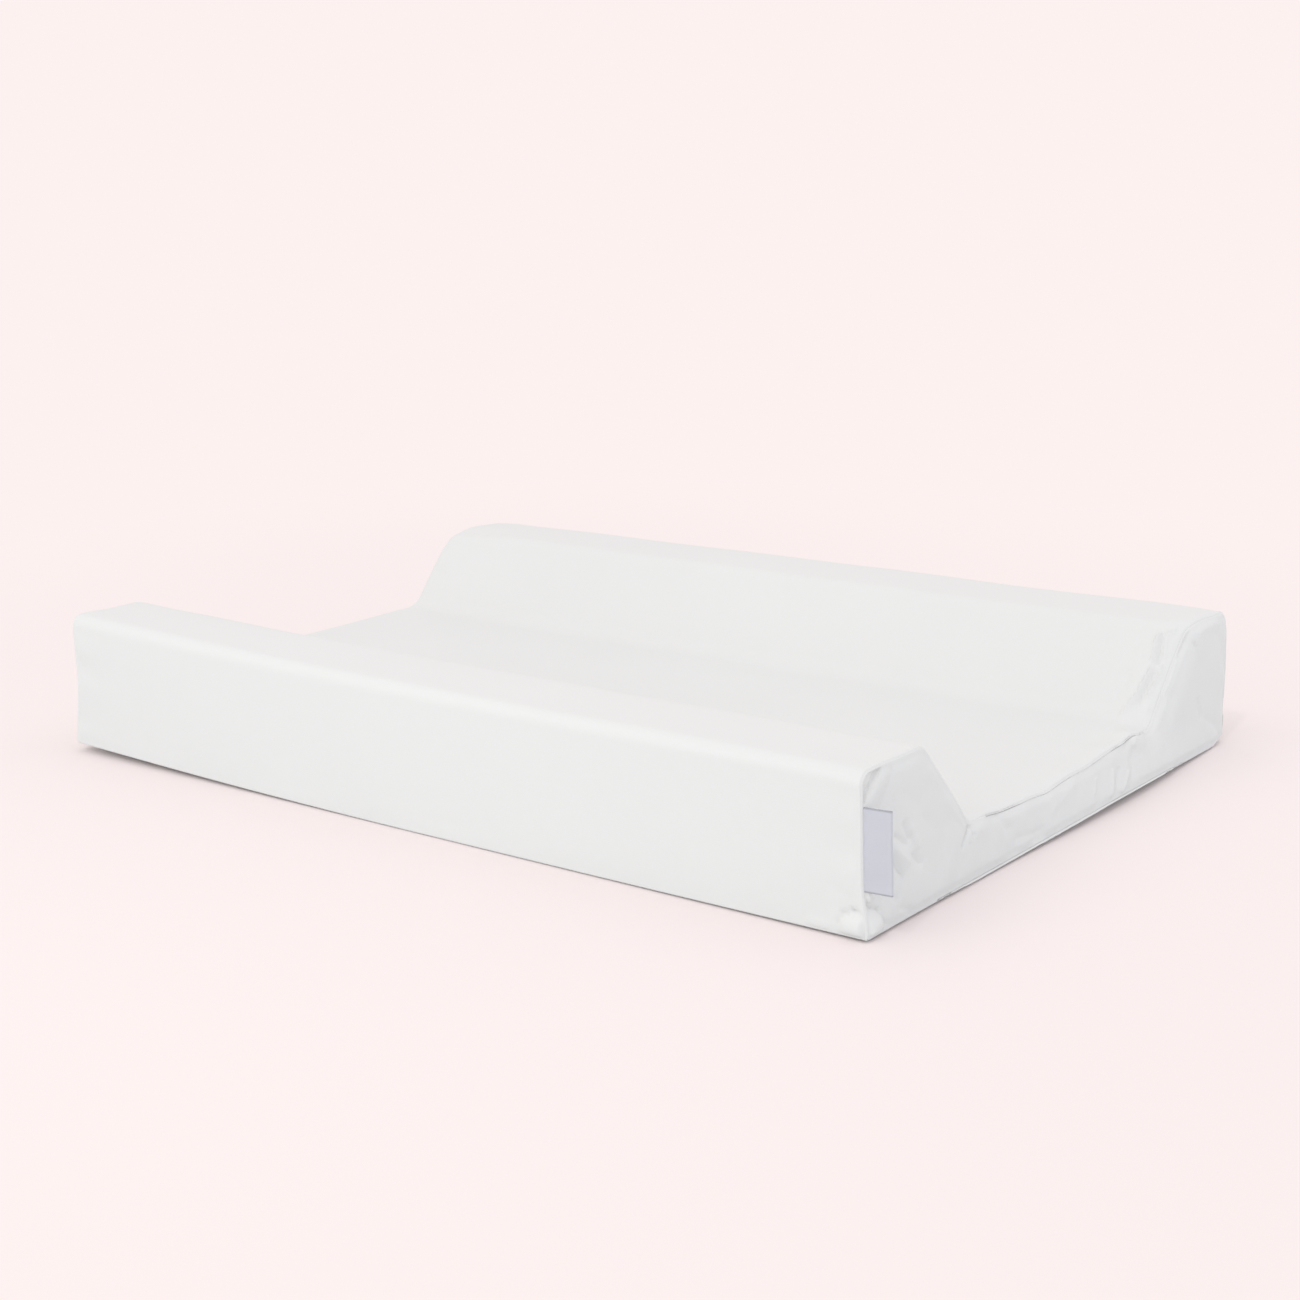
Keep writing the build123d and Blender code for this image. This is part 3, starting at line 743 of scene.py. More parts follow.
def end_ring(outline, upright, level):
    """Points round the closed outline, upright of them on each standing side and level on the top and on
    the underside, each underside point below its top one and closest together at the front. Gives the
    points and the unit normals into the panel."""
    run = along(outline)
    corners = ([side * (HALF_WIDTH - 2.6), HEIGHT - 2.6] for side in (-1, 1))
    front_top, rear_top = (run[np.argmin(np.hypot(*(outline - corner).T))] for corner in corners)
    rear_foot = run[-2]
    share = np.linspace(0, 1, level + 1)
    top = front_top + (rear_top - front_top) * (0.62 * share + 0.38 * share**2.2)
    top_y = resample(outline, top)[:, 0]
    low_y = np.interp(top_y, top_y[[0, -1]], [outline[0, 0], outline[-2, 0]])
    front = np.linspace(0, front_top, upright + 1)
    rear = np.linspace(rear_top, rear_foot, upright + 1)
    low = rear_foot + (outline[-2, 0] - low_y[::-1])
    ring = resample(outline, np.concatenate([front[:-1], top[:-1], rear[:-1], low[:-1]]))
    wide = np.vstack([ring[-1:], ring, ring[:1]])
    tangent = wide[2:] - wide[:-2]
    inward = np.column_stack([tangent[:, 1], -tangent[:, 0]])
    return ring, inward / np.linalg.norm(inward, axis=1, keepdims=True)


def coons(core, upright, level):
    """A patch blended between a ring's four sides: side to side plus bottom to top, less what the corners
    give twice over."""
    left = core[: upright + 1]
    top = core[upright : upright + level + 1]
    right = core[upright + level : 2 * upright + level + 1][::-1]
    low = np.vstack([core[2 * upright + level :], core[:1]])[::-1]
    u = np.linspace(0, 1, level + 1)[None, :, None]
    v = np.linspace(0, 1, upright + 1)[:, None, None]
    across = (1 - v) * low[None] + v * top[None] + (1 - u) * left[:, None] + u * right[:, None]
    corners = (1 - v) * ((1 - u) * low[0] + u * low[-1]) + v * ((1 - u) * top[0] + u * top[-1])
    return across - corners


def patch_index(first, base, upright, level):
    """Vertex numbers of the patch: its border is the ring that starts at first, and its inside starts at
    base."""
    count = 2 * (upright + level)
    table = np.zeros((upright + 1, level + 1), int)
    table[:, 0] = first + np.arange(upright + 1)
    table[-1, :] = first + upright + np.arange(level + 1)
    table[:, -1] = (first + upright + level + np.arange(upright + 1))[::-1]
    table[0, :] = (first + (2 * upright + level + np.arange(level + 1)) % count)[::-1]
    table[1:-1, 1:-1] = base + np.arange((upright - 1) * (level - 1)).reshape(upright - 1, level - 1)
    return table


def read_grid(field, row, column):
    """A height on a grid read between its points with uniform cubic B-spline weights, which also smooth
    it."""
    rows, columns = field.shape
    i, j = np.clip(np.floor(row), 0, rows - 2), np.clip(np.floor(column), 0, columns - 2)

    def weights(t):
        inner = (3 * t**3 - 6 * t**2 + 4) / 6, (-3 * t**3 + 3 * t**2 + 3 * t + 1) / 6
        return [(1 - t) ** 3 / 6, *inner, t**3 / 6]

    total = np.zeros(row.shape)
    for a, wa in zip(range(-1, 3), weights(np.clip(row - i, 0, 1))):
        for b, wb in zip(range(-1, 3), weights(np.clip(column - j, 0, 1))):
            at = np.clip(i + a, 0, rows - 1).astype(int), np.clip(j + b, 0, columns - 1).astype(int)
            total += wa * wb * field[at]
    return total


# the slack cloth's grid step, the frames it settles for, how much too large it is cut, the strip held along
# the rim, and the furthest that a point may stand out
SLACK_CELL, SLACK_FRAMES, SLACK_EXTRA, SLACK_HELD, SLACK_LIMIT = 3.5, 18, 0.014, 3.0, 2.4
SLACK = {}


def simulate_slack(context, side):
    """Slack of one end panel, as how far its cloth stands out, on a square grid over (z, y): its cloth is cut
    larger than the foam's end and is held still round its rim, so that it buckles over the foam. A cloth
    simulation without gravity, with the foam as a solid."""
    outline = end_outline(context.scene.changing_pad_section)
    low_to_high = np.arange(0, HEIGHT + SLACK_CELL, SLACK_CELL)
    front_to_rear = np.arange(-HALF_WIDTH, HALF_WIDTH + 1, SLACK_CELL)
    z, y = np.meshgrid(low_to_high, front_to_rear, indexing="ij")
    face = section(context.scene.changing_pad_section)
    face = face[np.abs(face[:, 0]) < HALF_WIDTH - 0.01]
    _, gap = nearest(np.column_stack([y.ravel(), z.ravel()]), evenly(outline, RIM_STEP), RIM_STEP)
    free = (z < np.interp(y, face[:, 0], face[:, 1])) & (gap.reshape(y.shape) > SLACK_HELD)
    rest = np.stack([np.full(y.shape, HALF_LENGTH), y, z], -1)
    draw = np.random.default_rng(300 + side)
    start = rest + draw.normal(0, 0.2, rest.shape) * free[..., None]
    start[..., 0] += 0.6 * free
    faces = grid_faces(*y.shape)
    cloth = make_piece("slack_cloth", start, faces)
    held = cloth.vertex_groups.new(name="held")
    held.add(np.flatnonzero(~free).tolist(), 1.0, "REPLACE")
    foam = make_piece("slack_foam", rest - [1.6, 0, 0], faces)
    foam.modifiers.new("Collision", "COLLISION")
    foam.collision.thickness_outer = 0.001
    solver = cloth.modifiers.new("Cloth", "CLOTH")
    fabric, touch = solver.settings, solver.collision_settings
    fabric.quality = 5
    fabric.mass = 0.30
    fabric.tension_stiffness = fabric.compression_stiffness = 25.0
    fabric.shear_stiffness = 12.0
    fabric.bending_stiffness = 5.0
    fabric.effector_weights.gravity = 0.0
    fabric.vertex_group_mass = "held"
    fabric.shrink_min = fabric.shrink_max = -SLACK_EXTRA
    touch.distance_min = 0.001
    touch.collision_quality = 2
    touch.use_self_collision = False
    scene = context.scene
    solver.point_cache.frame_start, solver.point_cache.frame_end = 1, SLACK_FRAMES
    for number in range(1, SLACK_FRAMES + 1):
        scene.frame_set(number)
    settled = cloth.evaluated_get(context.evaluated_depsgraph_get())
    moved = np.zeros(rest.size)
    settled.data.vertices.foreach_get("co", moved)
    stand = moved.reshape(rest.shape)[..., 0] / MM - HALF_LENGTH
    scene.frame_set(1)
    for piece in (cloth, foam):
        mesh = piece.data
        bpy.data.objects.remove(piece)
        bpy.data.meshes.remove(mesh)
    stand = SLACK_LIMIT * np.tanh(stand / SLACK_LIMIT)
    # the grid's own grain is smoothed away
    for _ in range(2):
        wide = np.pad(stand, 1, mode="edge")
        stand = (wide[:-2, 1:-1] + wide[2:, 1:-1] + wide[1:-1, :-2] + wide[1:-1, 2:] + 4 * stand) / 8
    return stand


class OBJECT_OT_pad_slack(bpy.types.Operator):
    """Simulate the slack cloth round both ends, for the cover's panels to follow"""

    bl_idname = "object.pad_slack"
    bl_label = "Settle slack cloth"
    bl_options = {"REGISTER", "UNDO"}

    def execute(self, context):
        for side in (1, -1):
            SLACK[side] = simulate_slack(context, side)
        return {"FINISHED"}


# how far the foam lies inside the cover's face, and inside its ends
FOAM_INSET, FOAM_SHORT = 3.8, 6.0
# its ends are rounded over this length, and its slab's edge dips there
FOAM_ROUND, FOAM_DIP = 24, 4.0
# the rear wall's foam is pressed in behind the zip
FOAM_PRESSED = 4.2


class OBJECT_OT_pad_foam(bpy.types.Operator):
    """Foam slab and the two bolsters glued on it"""

    bl_idname = "object.pad_foam"
    bl_label = "Foam core"
    bl_options = {"REGISTER", "UNDO"}

    def execute(self, context):
        settings, cover = context.scene.changing_pad_section, context.scene.changing_pad_cover
        glue = extent("foam_base_slab", 2, 1)
        line = section(settings, FOAM_INSET)
        for name, node, low, high, keep in (
            ("foam_slab", "foam_base_slab", 2.0, glue - 0.3, None),
            ("foam_bolster_front", "front_foam_bolster", glue + 0.3, HEIGHT, -1),
            ("foam_bolster_rear", "rear_foam_bolster", glue + 0.3, HEIGHT, 1),
        ):
            end, taper = HALF_LENGTH - FOAM_SHORT, 0.02 if keep is None else 0.18
            if keep is None:
                top = line[(np.abs(line[:, 0]) < HALF_WIDTH - FOAM_INSET - 0.01) | (line[:, 1] < high)]
                top = top[(top[:, 1] <= high) & (top[:, 1] >= low)]
                rear_wall = top[:, 0] > HALF_WIDTH - FOAM_INSET - 0.5
                pressed = FOAM_PRESSED * rear_wall * (1 - smooth(np.abs(top[:, 1] - ZIP_HEIGHT), 16, 20))
                top = np.column_stack([top[:, 0] - pressed, top[:, 1]])
                loop = np.vstack([[top[0, 0], low], top, [top[-1, 0], low]])
            else:
                part = line[(line[:, 0] * keep > 0) & (line[:, 1] >= low)]
                loop = np.vstack([[part[0, 0], low], part, [part[-1, 0], low]])
            closed = np.vstack([loop, loop[:1]])
            run = along(closed)
            ring = resample(closed, np.linspace(0, run[-1], 241)[:-1])
            across, upwards = ((c.min() + c.max()) / 2 for c in ring.T)
            middle = np.array([across, upwards * 0.55 + 0.45 * low])
            # stations: each end is rounded as a quarter of an ellipse, and closed on the middle
            p = np.radians(np.linspace(0, 90, 8))
            left, narrow = -end + FOAM_ROUND * (1 - np.cos(p)), 1 - taper * (1 - np.sin(p))
            x = np.concatenate([[-end], left, np.linspace(48 - end, end - 48, 22), -left[::-1], [end]])
            scale = np.concatenate([[0], narrow, np.ones(22), narrow[::-1], [0]])
            grid = np.zeros((len(x), len(ring), 3))
            grid[..., 0] = x[:, None]
            grid[..., 1:] = middle + (ring - middle)[None] * scale[:, None, None]
            if keep is None:
                dip = FOAM_DIP * smooth(np.abs(x), end - 30, end - 4)
                grid[..., 2] -= dip[:, None] * smooth(ring[:, 1], 34, 38)
            grid = settle(grid, cover)
            # both poles are single points
            body = grid[1:-1]
            rows, columns = body.shape[:2]
            points = np.vstack([body.reshape(-1, 3), grid[0, :1], grid[-1, :1]])
            around = np.arange(columns)
            after = np.roll(around, -1)
            faces = grid_faces(rows, columns, ring=True).tolist()
            faces += np.column_stack([after, around, np.full(columns, rows * columns)]).tolist()
            last, pole = (rows - 1) * columns, np.full(columns, rows * columns + 1)
            faces += np.column_stack([last + around, last + after, pole]).tolist()
            piece = make_piece(name, points, faces)
            dress(piece, "cut_polyurethane_foam")
            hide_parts(node)
            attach(piece, "pad")
        return {"FINISHED"}


# how far the hems stand out beside the zip
HEM_PROUD = 0.9


def hem_tail(edge, direction, proud):
    """The rear wall's cloth where it meets the zip, as (y, z) points: it swells proud towards the edge, folds
    back on itself and ends inside. edge is the height of the fold and direction the way to it, 1 up or -1
    down."""
    r = 0.9
    z = edge - direction * np.array([16, 12, 9, 7, 5, 3.8, 3.0, 2.2, r])
    y = HALF_WIDTH + proud * smooth(-direction * (z - edge), 16, 5)
    p = np.radians(np.linspace(0, 180, 9))[1:]
    fold = np.column_stack([y[-1] - r + r * np.cos(p), edge - direction * r + direction * r * np.sin(p)])
    back = np.array([[fold[-1, 0], edge - direction * k] for k in (3, 6)])
    return np.vstack([np.column_stack([y, z]), fold, back])


class OBJECT_OT_pad_wrap(bpy.types.Operator):
    """Cover sheet from the front wall over the bolsters and seat to the zip"""

    bl_idname = "object.pad_wrap"
    bl_label = "Wrap panel"
    bl_options = {"REGISTER", "UNDO"}

    def execute(self, context):
        settings, cover = context.scene.changing_pad_section, context.scene.changing_pad_cover
        roll = bottom_roll(cover)
        base = np.column_stack([-HALF_WIDTH + roll[:, 1], roll[:, 0]])[::-1]
        line = section(settings)
        upper = ZIP_HEIGHT + cover.opening / MM / 2
        on_rear_wall = line[:, 0] > HALF_WIDTH - 0.5
        middle = line[(line[:, 1] > 1.4) & ~(on_rear_wall & (line[:, 1] < upper + 17))]
        hem = hem_tail(upper, -1, HEM_PROUD)
        path = np.vstack([base, middle, hem])
        run = along(path)
        start, stop = along(base)[-1], run[-1] - along(hem)[-1]

        def step(s):
            return np.where((s < start + 2) | (s > stop - 2), 0.42, 2.2)

        at = spaced(0, run[-1], step)
        profile = resample(path, at)
        normal = left_normal(profile)
        station = end_stations(seam_roll(cover))
        x, depth = station[:, :1], station[:, 1:]
        away = HALF_LENGTH - np.abs(x)
        s = at[None, :]
        whole_x, whole_s = np.broadcast_arrays(x, s)
        calm = smooth(s, start, start + 14) * (1 - smooth(s, stop - 10, stop + 2))
        right, left = (puckers(s, away, seed, cover.pucker / MM) for seed in (1, 0))
        swell = np.where(x > 0, right, left) + 0.35 * ripple(whole_x, whole_s, 190, 5) * smooth(away, 4, 60)
        swell = calm * swell
        y, z = profile[:, 0], profile[:, 1]
        front = folds(x, z[None, :], FRONT_WALL_FOLDS) * (y < -HALF_WIDTH + 1) * smooth(s, start, start + 3)
        slope = folds(x, z[None, :], REAR_SLOPE_FOLDS) * smooth(y, 112, 122) * (1 - smooth(y, 184, 200))
        share = seam_share(y, z)[None, :]
        rise = swell * smooth(away, SEAM_FLAT + 0.6, 6) - depth * share
        rise = rise + (front + slope) * smooth(away, SEAM_FLAT, 4)
        away = np.where(depth > 0, away * share, away)
        pull = np.where(x > 0, drawn_in(away, softness(y, z, 1)), drawn_in(away, softness(y, z, -1)))
        rise = rise - pull
        reach = np.sign(x) * (HALF_LENGTH - away - pull)
        grid = np.stack([reach, y + normal[:, 0] * rise, z + normal[:, 1] * rise], -1)
        grid = settle(grid, cover)
        uv = np.stack([whole_x, whole_s], -1) * MM
        piece = make_piece("cover_wrap", grid, grid_faces(*grid.shape[:2]), uv, flip=True)
        thicken(piece, cover.cloth, (depth > 0) | (s < start))
        dress(piece, "coated_polyester_knit")
        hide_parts("cover_wrap_panel")
        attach(piece, "pad")
        return {"FINISHED"}


class OBJECT_OT_pad_base(bpy.types.Operator):
    """Underside sheet, turned up at the rear to the zip"""

    bl_idname = "object.pad_base"
    bl_label = "Base panel"
    bl_options = {"REGISTER", "UNDO"}

    def execute(self, context):
        cover = context.scene.changing_pad_cover
        roll = bottom_roll(cover)
        front = np.column_stack([-HALF_WIDTH + roll[:, 0], roll[:, 1]])[::-1]
        lower = ZIP_HEIGHT - cover.opening / MM / 2
        turn = fillet((0, 0), (HALF_WIDTH, 0), (HALF_WIDTH, 40), 3.0, 9)
        wall = hem_tail(lower, 1, HEM_PROUD)
        path = np.vstack([front, turn, wall])
        run = along(path)
        start = along(front)[-1]
        stop = run[-1] - along(np.vstack([turn, wall]))[-1]
        at = spaced(0, run[-1], lambda s: np.where((s < start + 2) | (s > stop - 2), 0.5, 4.0))
        profile = resample(path, at)
        normal = -left_normal(profile)
        station = end_stations(roll, 2.5, 9.0)
        x, depth = station[:, :1], station[:, 1:]
        s = at[None, :]
        whole_x, whole_s = np.broadcast_arrays(x, s)
        away = HALF_LENGTH - np.abs(x)
        # the underside lies on the floor, so it only swells upwards, away from it
        hollow = 0.5 * (1 + ripple(whole_x, whole_s, 120, 9)) * smooth(away, 8, 50)
        hollow = hollow * smooth(s, start + 5, start + 60) * (1 - smooth(s, stop - 60, stop - 5))
        rise = -depth - hollow * 0.6
        y, z = profile[:, 0], profile[:, 1]
        grid = np.stack([whole_x, y + normal[:, 0] * rise, z + normal[:, 1] * rise], -1)
        grid = settle(grid, cover)
        uv = np.stack([whole_x, whole_s], -1) * MM
        piece = make_piece("cover_base", grid, grid_faces(*grid.shape[:2]), uv, flip=False)
        thicken(piece, cover.cloth, (depth > 0) | (s < start))
        dress(piece, "woven_polyester_underside")
        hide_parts("cover_base_panel")
        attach(piece, "pad")
        return {"FINISHED"}


def nearest(points, line, step, chunk=4000):
    """For each point, the place of the nearest point of an evenly spaced line, counted in its steps, and the
    distance from it."""
    tangent = np.gradient(line, axis=0)
    tangent /= np.linalg.norm(tangent, axis=1, keepdims=True)
    place, gap = np.zeros(len(points)), np.zeros(len(points))
    for k in range(0, len(points), chunk):
        some = points[k : k + chunk]
        index = np.linalg.norm(some[:, None] - line[None], axis=-1).argmin(1)
        off, ahead = some - line[index], tangent[index]
        forward = (off * ahead).sum(1)
        part = np.clip(forward, -step / 2, step / 2)
        place[k : k + chunk] = index + part / step
        gap[k : k + chunk] = np.hypot(off[:, 0] * ahead[:, 1] - off[:, 1] * ahead[:, 0], forward - part)
    return np.clip(place, 0, len(line) - 1), gap


class OBJECT_OT_pad_ends(bpy.types.Operator):
    """End panels of the cover, with the folds that the sewing leaves in them"""

    bl_idname = "object.pad_ends"
    bl_label = "End panels"
    bl_options = {"REGISTER", "UNDO"}

    def execute(self, context):
        for side in (1, -1):
            self.panel(context, side)
        return {"FINISHED"}

    def panel(self, context, side):
        """Rings carried inwards from the outline over the seam's roll, then a patch blended between the four
        sides of the innermost ring."""
        settings, cover = context.scene.changing_pad_section, context.scene.changing_pad_cover
        upright, level = 100, 390
        outline = end_outline(settings)
        ring, inward = end_ring(outline, upright, level)
        count = len(ring)
        share = seam_share(ring[:, 0], ring[:, 1])
        roll = seam_roll(cover)[::-1]
        rings = [ring + inward * (b * share)[:, None] for b, _ in roll]
        patch = coons(rings[-1], upright, level)
        inside = patch[1:-1, 1:-1].reshape(-1, 2)
        flat = np.vstack([*rings, inside])
        sunk = np.concatenate([*(a * share for _, a in roll), np.zeros(len(inside))])
        rim = evenly(outline, RIM_STEP)
        place, gap = nearest(flat, rim, RIM_STEP)
        run = RIM_STEP * place
        steps = np.arange(len(rim))
        rim_y, rim_z, into_y, into_z = (np.interp(place, steps, c) for c in (*rim.T, *-left_normal(rim).T))
        pull = drawn_in(gap, softness(rim_y, rim_z, side))
        stand = puckers(run, gap, int(side > 0), cover.pucker / MM)
        stand = stand * smooth(gap, SEAM_FLAT, 6) * (1 - smooth(gap, 9, 17))
        stand = stand + 0.3 * ripple(flat[:, 0], flat[:, 1], 70, 21 + side) * smooth(gap, 4, 25)
        if side in SLACK:
            slack = read_grid(SLACK[side], flat[:, 1] / SLACK_CELL, (flat[:, 0] + HALF_WIDTH) / SLACK_CELL)
            stand = stand + slack * smooth(gap, 2, 9)
        table = RIGHT_END_FOLDS if side > 0 else LEFT_END_FOLDS
        stand = stand + folds(flat[:, 0], flat[:, 1], table) * smooth(gap, SEAM_FLAT, 4)
        drawn = flat + np.column_stack([into_y, into_z]) * pull[:, None]
        points = np.column_stack([HALF_LENGTH - sunk + stand - pull, drawn])
        points[:, 0] *= side
        points = settle(points, cover)
        first = (len(roll) - 1) * count
        patch = table_faces(patch_index(first, len(roll) * count, upright, level))
        faces = np.vstack([grid_faces(len(roll), count, ring=True)[:, ::-1], patch])
        name = "right" if side > 0 else "left"
        piece = make_piece(f"cover_end_{name}", points, faces, flat * MM, flip=side < 0)
        thicken(piece, cover.cloth, np.arange(len(points)) < first)
        dress(piece, "coated_polyester_knit")
        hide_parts(f"cover_{name}_end_panel")
        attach(piece, "pad")


class OBJECT_OT_pad_tag(bpy.types.Operator):
    """Bare satin ribbon folded once and caught in the front right corner seam"""

    bl_idname = "object.pad_tag"
    bl_label = "Corner tag"
    bl_options = {"REGISTER", "UNDO"}

    def execute(self, context):
        cover = context.scene.changing_pad_cover
        low, high = (np.array(c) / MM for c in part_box("corner_tag"))
        ply, gap, lean = 0.5, 0.3, np.radians(4.0)
        pitch = (ply + gap) / 2
        reach = high[0] - low[0] + 1.5
        root = np.array([low[0] + 0.4, low[1] + pitch + 0.9])
        # the fold is a small teardrop, wider than the plies where they lie together
        p = np.linspace(-90, 90, 13)
        fold = np.column_stack([reach - 1.0 + 0.75 * np.cos(np.radians(p)), 0.75 * np.sin(np.radians(p))])
        out = np.linspace(0, reach - 3.0, 22)
        lower = np.column_stack([out, -pitch + 0 * out])
        upper = np.column_stack([out[::-1], pitch + 0 * out])
        path = np.vstack([lower, fold, upper])
        run = along(path)
        at = np.linspace(0, run[-1], 90)
        path = resample(path, at)
        z = np.linspace(low[2], high[2], 61)
        u, v = path[None, :, 0] + 0 * z[:, None], path[None, :, 1] + 0 * z[:, None]
        t = (z[:, None] - low[2]) / (high[2] - low[2])
        # the ribbon bows a little along its height, and its free end waves
        bow = 0.7 * np.sin(np.pi * t) * (u / reach) + 0.5 * np.sin(2.3 * np.pi * t + 0.6) * (u / reach) ** 2
        x = root[0] + u * np.cos(lean) - (v + bow) * np.sin(lean)
        y = root[1] + u * np.sin(lean) + (v + bow) * np.cos(lean)
        grid = settle(np.stack([x, y, z[:, None] + 0 * u], -1), cover)
        uv = np.stack([at[None] + 0 * u, z[:, None] + 0 * u], -1) * MM
        piece = make_piece("corner_ribbon", grid, grid_faces(*grid.shape[:2]), uv)
        wall = piece.modifiers.new("Ribbon thickness", "SOLIDIFY")
        wall.thickness, wall.offset = ply * MM, 0.0
        dress(piece, "polyester_satin_ribbon")
        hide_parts("corner_tag")
        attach(piece, "pad")
        return {"FINISHED"}


# where the zip's stops end, how far short of the seams the tapes end, and how far they close up in between
TAPES_PART, TAPES_SHORT, TAPES_CLOSE = 353.5, 1.6, 3.3


class OBJECT_OT_pad_zip(bpy.types.Operator):
    """Zip tapes, topstitching, and the finishes of the moulded and cast zip parts"""

    bl_idname = "object.pad_zip"
    bl_label = "Zip trim"
    bl_options = {"REGISTER", "UNDO"}

    def execute(self, context):
        cover = context.scene.changing_pad_cover
        tapes = (("upper_zip_tape", "zip_tape_upper", 1), ("lower_zip_tape", "zip_tape_lower", -1))
        for node, name, side in tapes:
            low, high = (np.array(c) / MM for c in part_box(node))
            # across the tape: rounded selvage, flat web, and a thicker edge beside the cord
            width = high[2] - low[2]
            t = np.linspace(0, 1, 25)
            half = (high[1] - low[1]) / 2 * np.sqrt(np.clip(1 - np.abs(2 * t - 1) ** 14, 0, 1))
            across = low[2] + width * t
            middle = (low[1] + high[1]) / 2
            outside, inside = (np.column_stack([middle + part, across]) for part in (half, -half))
            ring = np.vstack([outside, inside[::-1][1:-1]])
            # both ends run on behind the end panels' seams
            x = np.linspace(low[0], high[0], 260)
            x[0], x[-1] = -HALF_LENGTH + TAPES_SHORT, HALF_LENGTH - TAPES_SHORT
            grid = np.zeros((len(x), len(ring), 3))
            grid[..., 0] = x[:, None]
            grid[..., 1:] = ring[None]
            # beyond the stops the two tapes close up
            grid[..., 2] -= side * TAPES_CLOSE * smooth(np.abs(x), TAPES_PART, TAPES_PART + 9)[:, None]
            web = hump(grid[..., 2] - (low[2] + high[2]) / 2, width / 3)
            grid[..., 1] += 0.05 * np.sin(x[:, None] / 9.0) * web
            uv = np.stack([grid[..., 0], grid[..., 2]], -1) * MM
            piece = make_piece(name, grid, tube_faces(len(x), len(ring)), uv, flip=True)
            dress(piece, "woven_polyester_tape")
            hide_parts(node)
            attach(piece, "pad")
        self.stitches(cover)
        for node in ("upper_zip_teeth", "lower_zip_teeth", "zip_top_stops", "zip_bottom_stop"):
            dress(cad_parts[node], "moulded_acetal")
        for node in ("zip_slider", "zip_pull"):
            dress(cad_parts[node], "lacquered_die_cast_zinc")
        return {"FINISHED"}

    def stitches(self, cover):
        """Two rows of short thread capsules, each sunk at both ends, one row along each hem."""
        pitch, inset = cover.stitch / MM, cover.stitch_inset / MM
        x = np.arange(-HALF_LENGTH + 14, HALF_LENGTH - 14, pitch)
        t = np.linspace(0, 1, 7)
        around = np.radians(np.arange(0, 360, 60))
        girth = 0.28 * np.sqrt(np.clip(1 - (2 * t - 1) ** 4, 0.02, 1))
        one = np.zeros((len(t), len(around), 3))
        one[..., 0] = ((t - 0.5) * pitch * 0.8)[:, None]
        one[..., 1] = (0.30 * np.sin(np.pi * t) - 0.12)[:, None] + girth[:, None] * np.cos(around)
        one[..., 2] = girth[:, None] * np.sin(around)
        grid = []
        for side in (1, -1):
            row = np.tile(one[None], (len(x), 1, 1, 1))
            row[..., 0] += x[:, None, None]
            row[..., 1] += HALF_WIDTH + HEM_PROUD
            row[..., 2] += ZIP_HEIGHT + side * (cover.opening / MM / 2 + inset)
            grid.append(row)
        grid = np.concatenate(grid)
        shape, count = tube_faces(len(t), len(around)), len(t) * len(around)
        faces = [[v + k * count for v in f] for k in range(len(grid)) for f in shape]
        piece = make_piece("zip_topstitching", grid, faces, flip=True)
        dress(piece, "spun_polyester_thread")
        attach(piece, "pad")


# ---- Studio ------------------------------------------------------------------------
CAMERA_PLACE = (1.0736, -1.3091, 0.5073)
CAMERA_AZIMUTH, CAMERA_ELEVATION, CAMERA_ROLL = 39.027, 14.229, -2.076
FOCAL_PIXELS, FRAME_PIXELS, SENSOR_WIDTH = 2242.4, 1300, 36.0
SUN_HEIGHT, SUN_HEADING, SUN_STRENGTH, SUN_WIDTH = 50.0, (-0.19, 0.98), 0.22, 2.0
WINDOW_SIZE = 0.8
WINDOWS = (("window_front", (-0.05, -1.2, 0.5), 1.6), ("window_right", (1.1, 0.7, 0.7), 0.42))
SKY_STRENGTH, SKY_LEFT, SKY_RIGHT = 0.89, (1.0, 0.998, 0.985, 1), (0.965, 0.98, 1.03, 1)


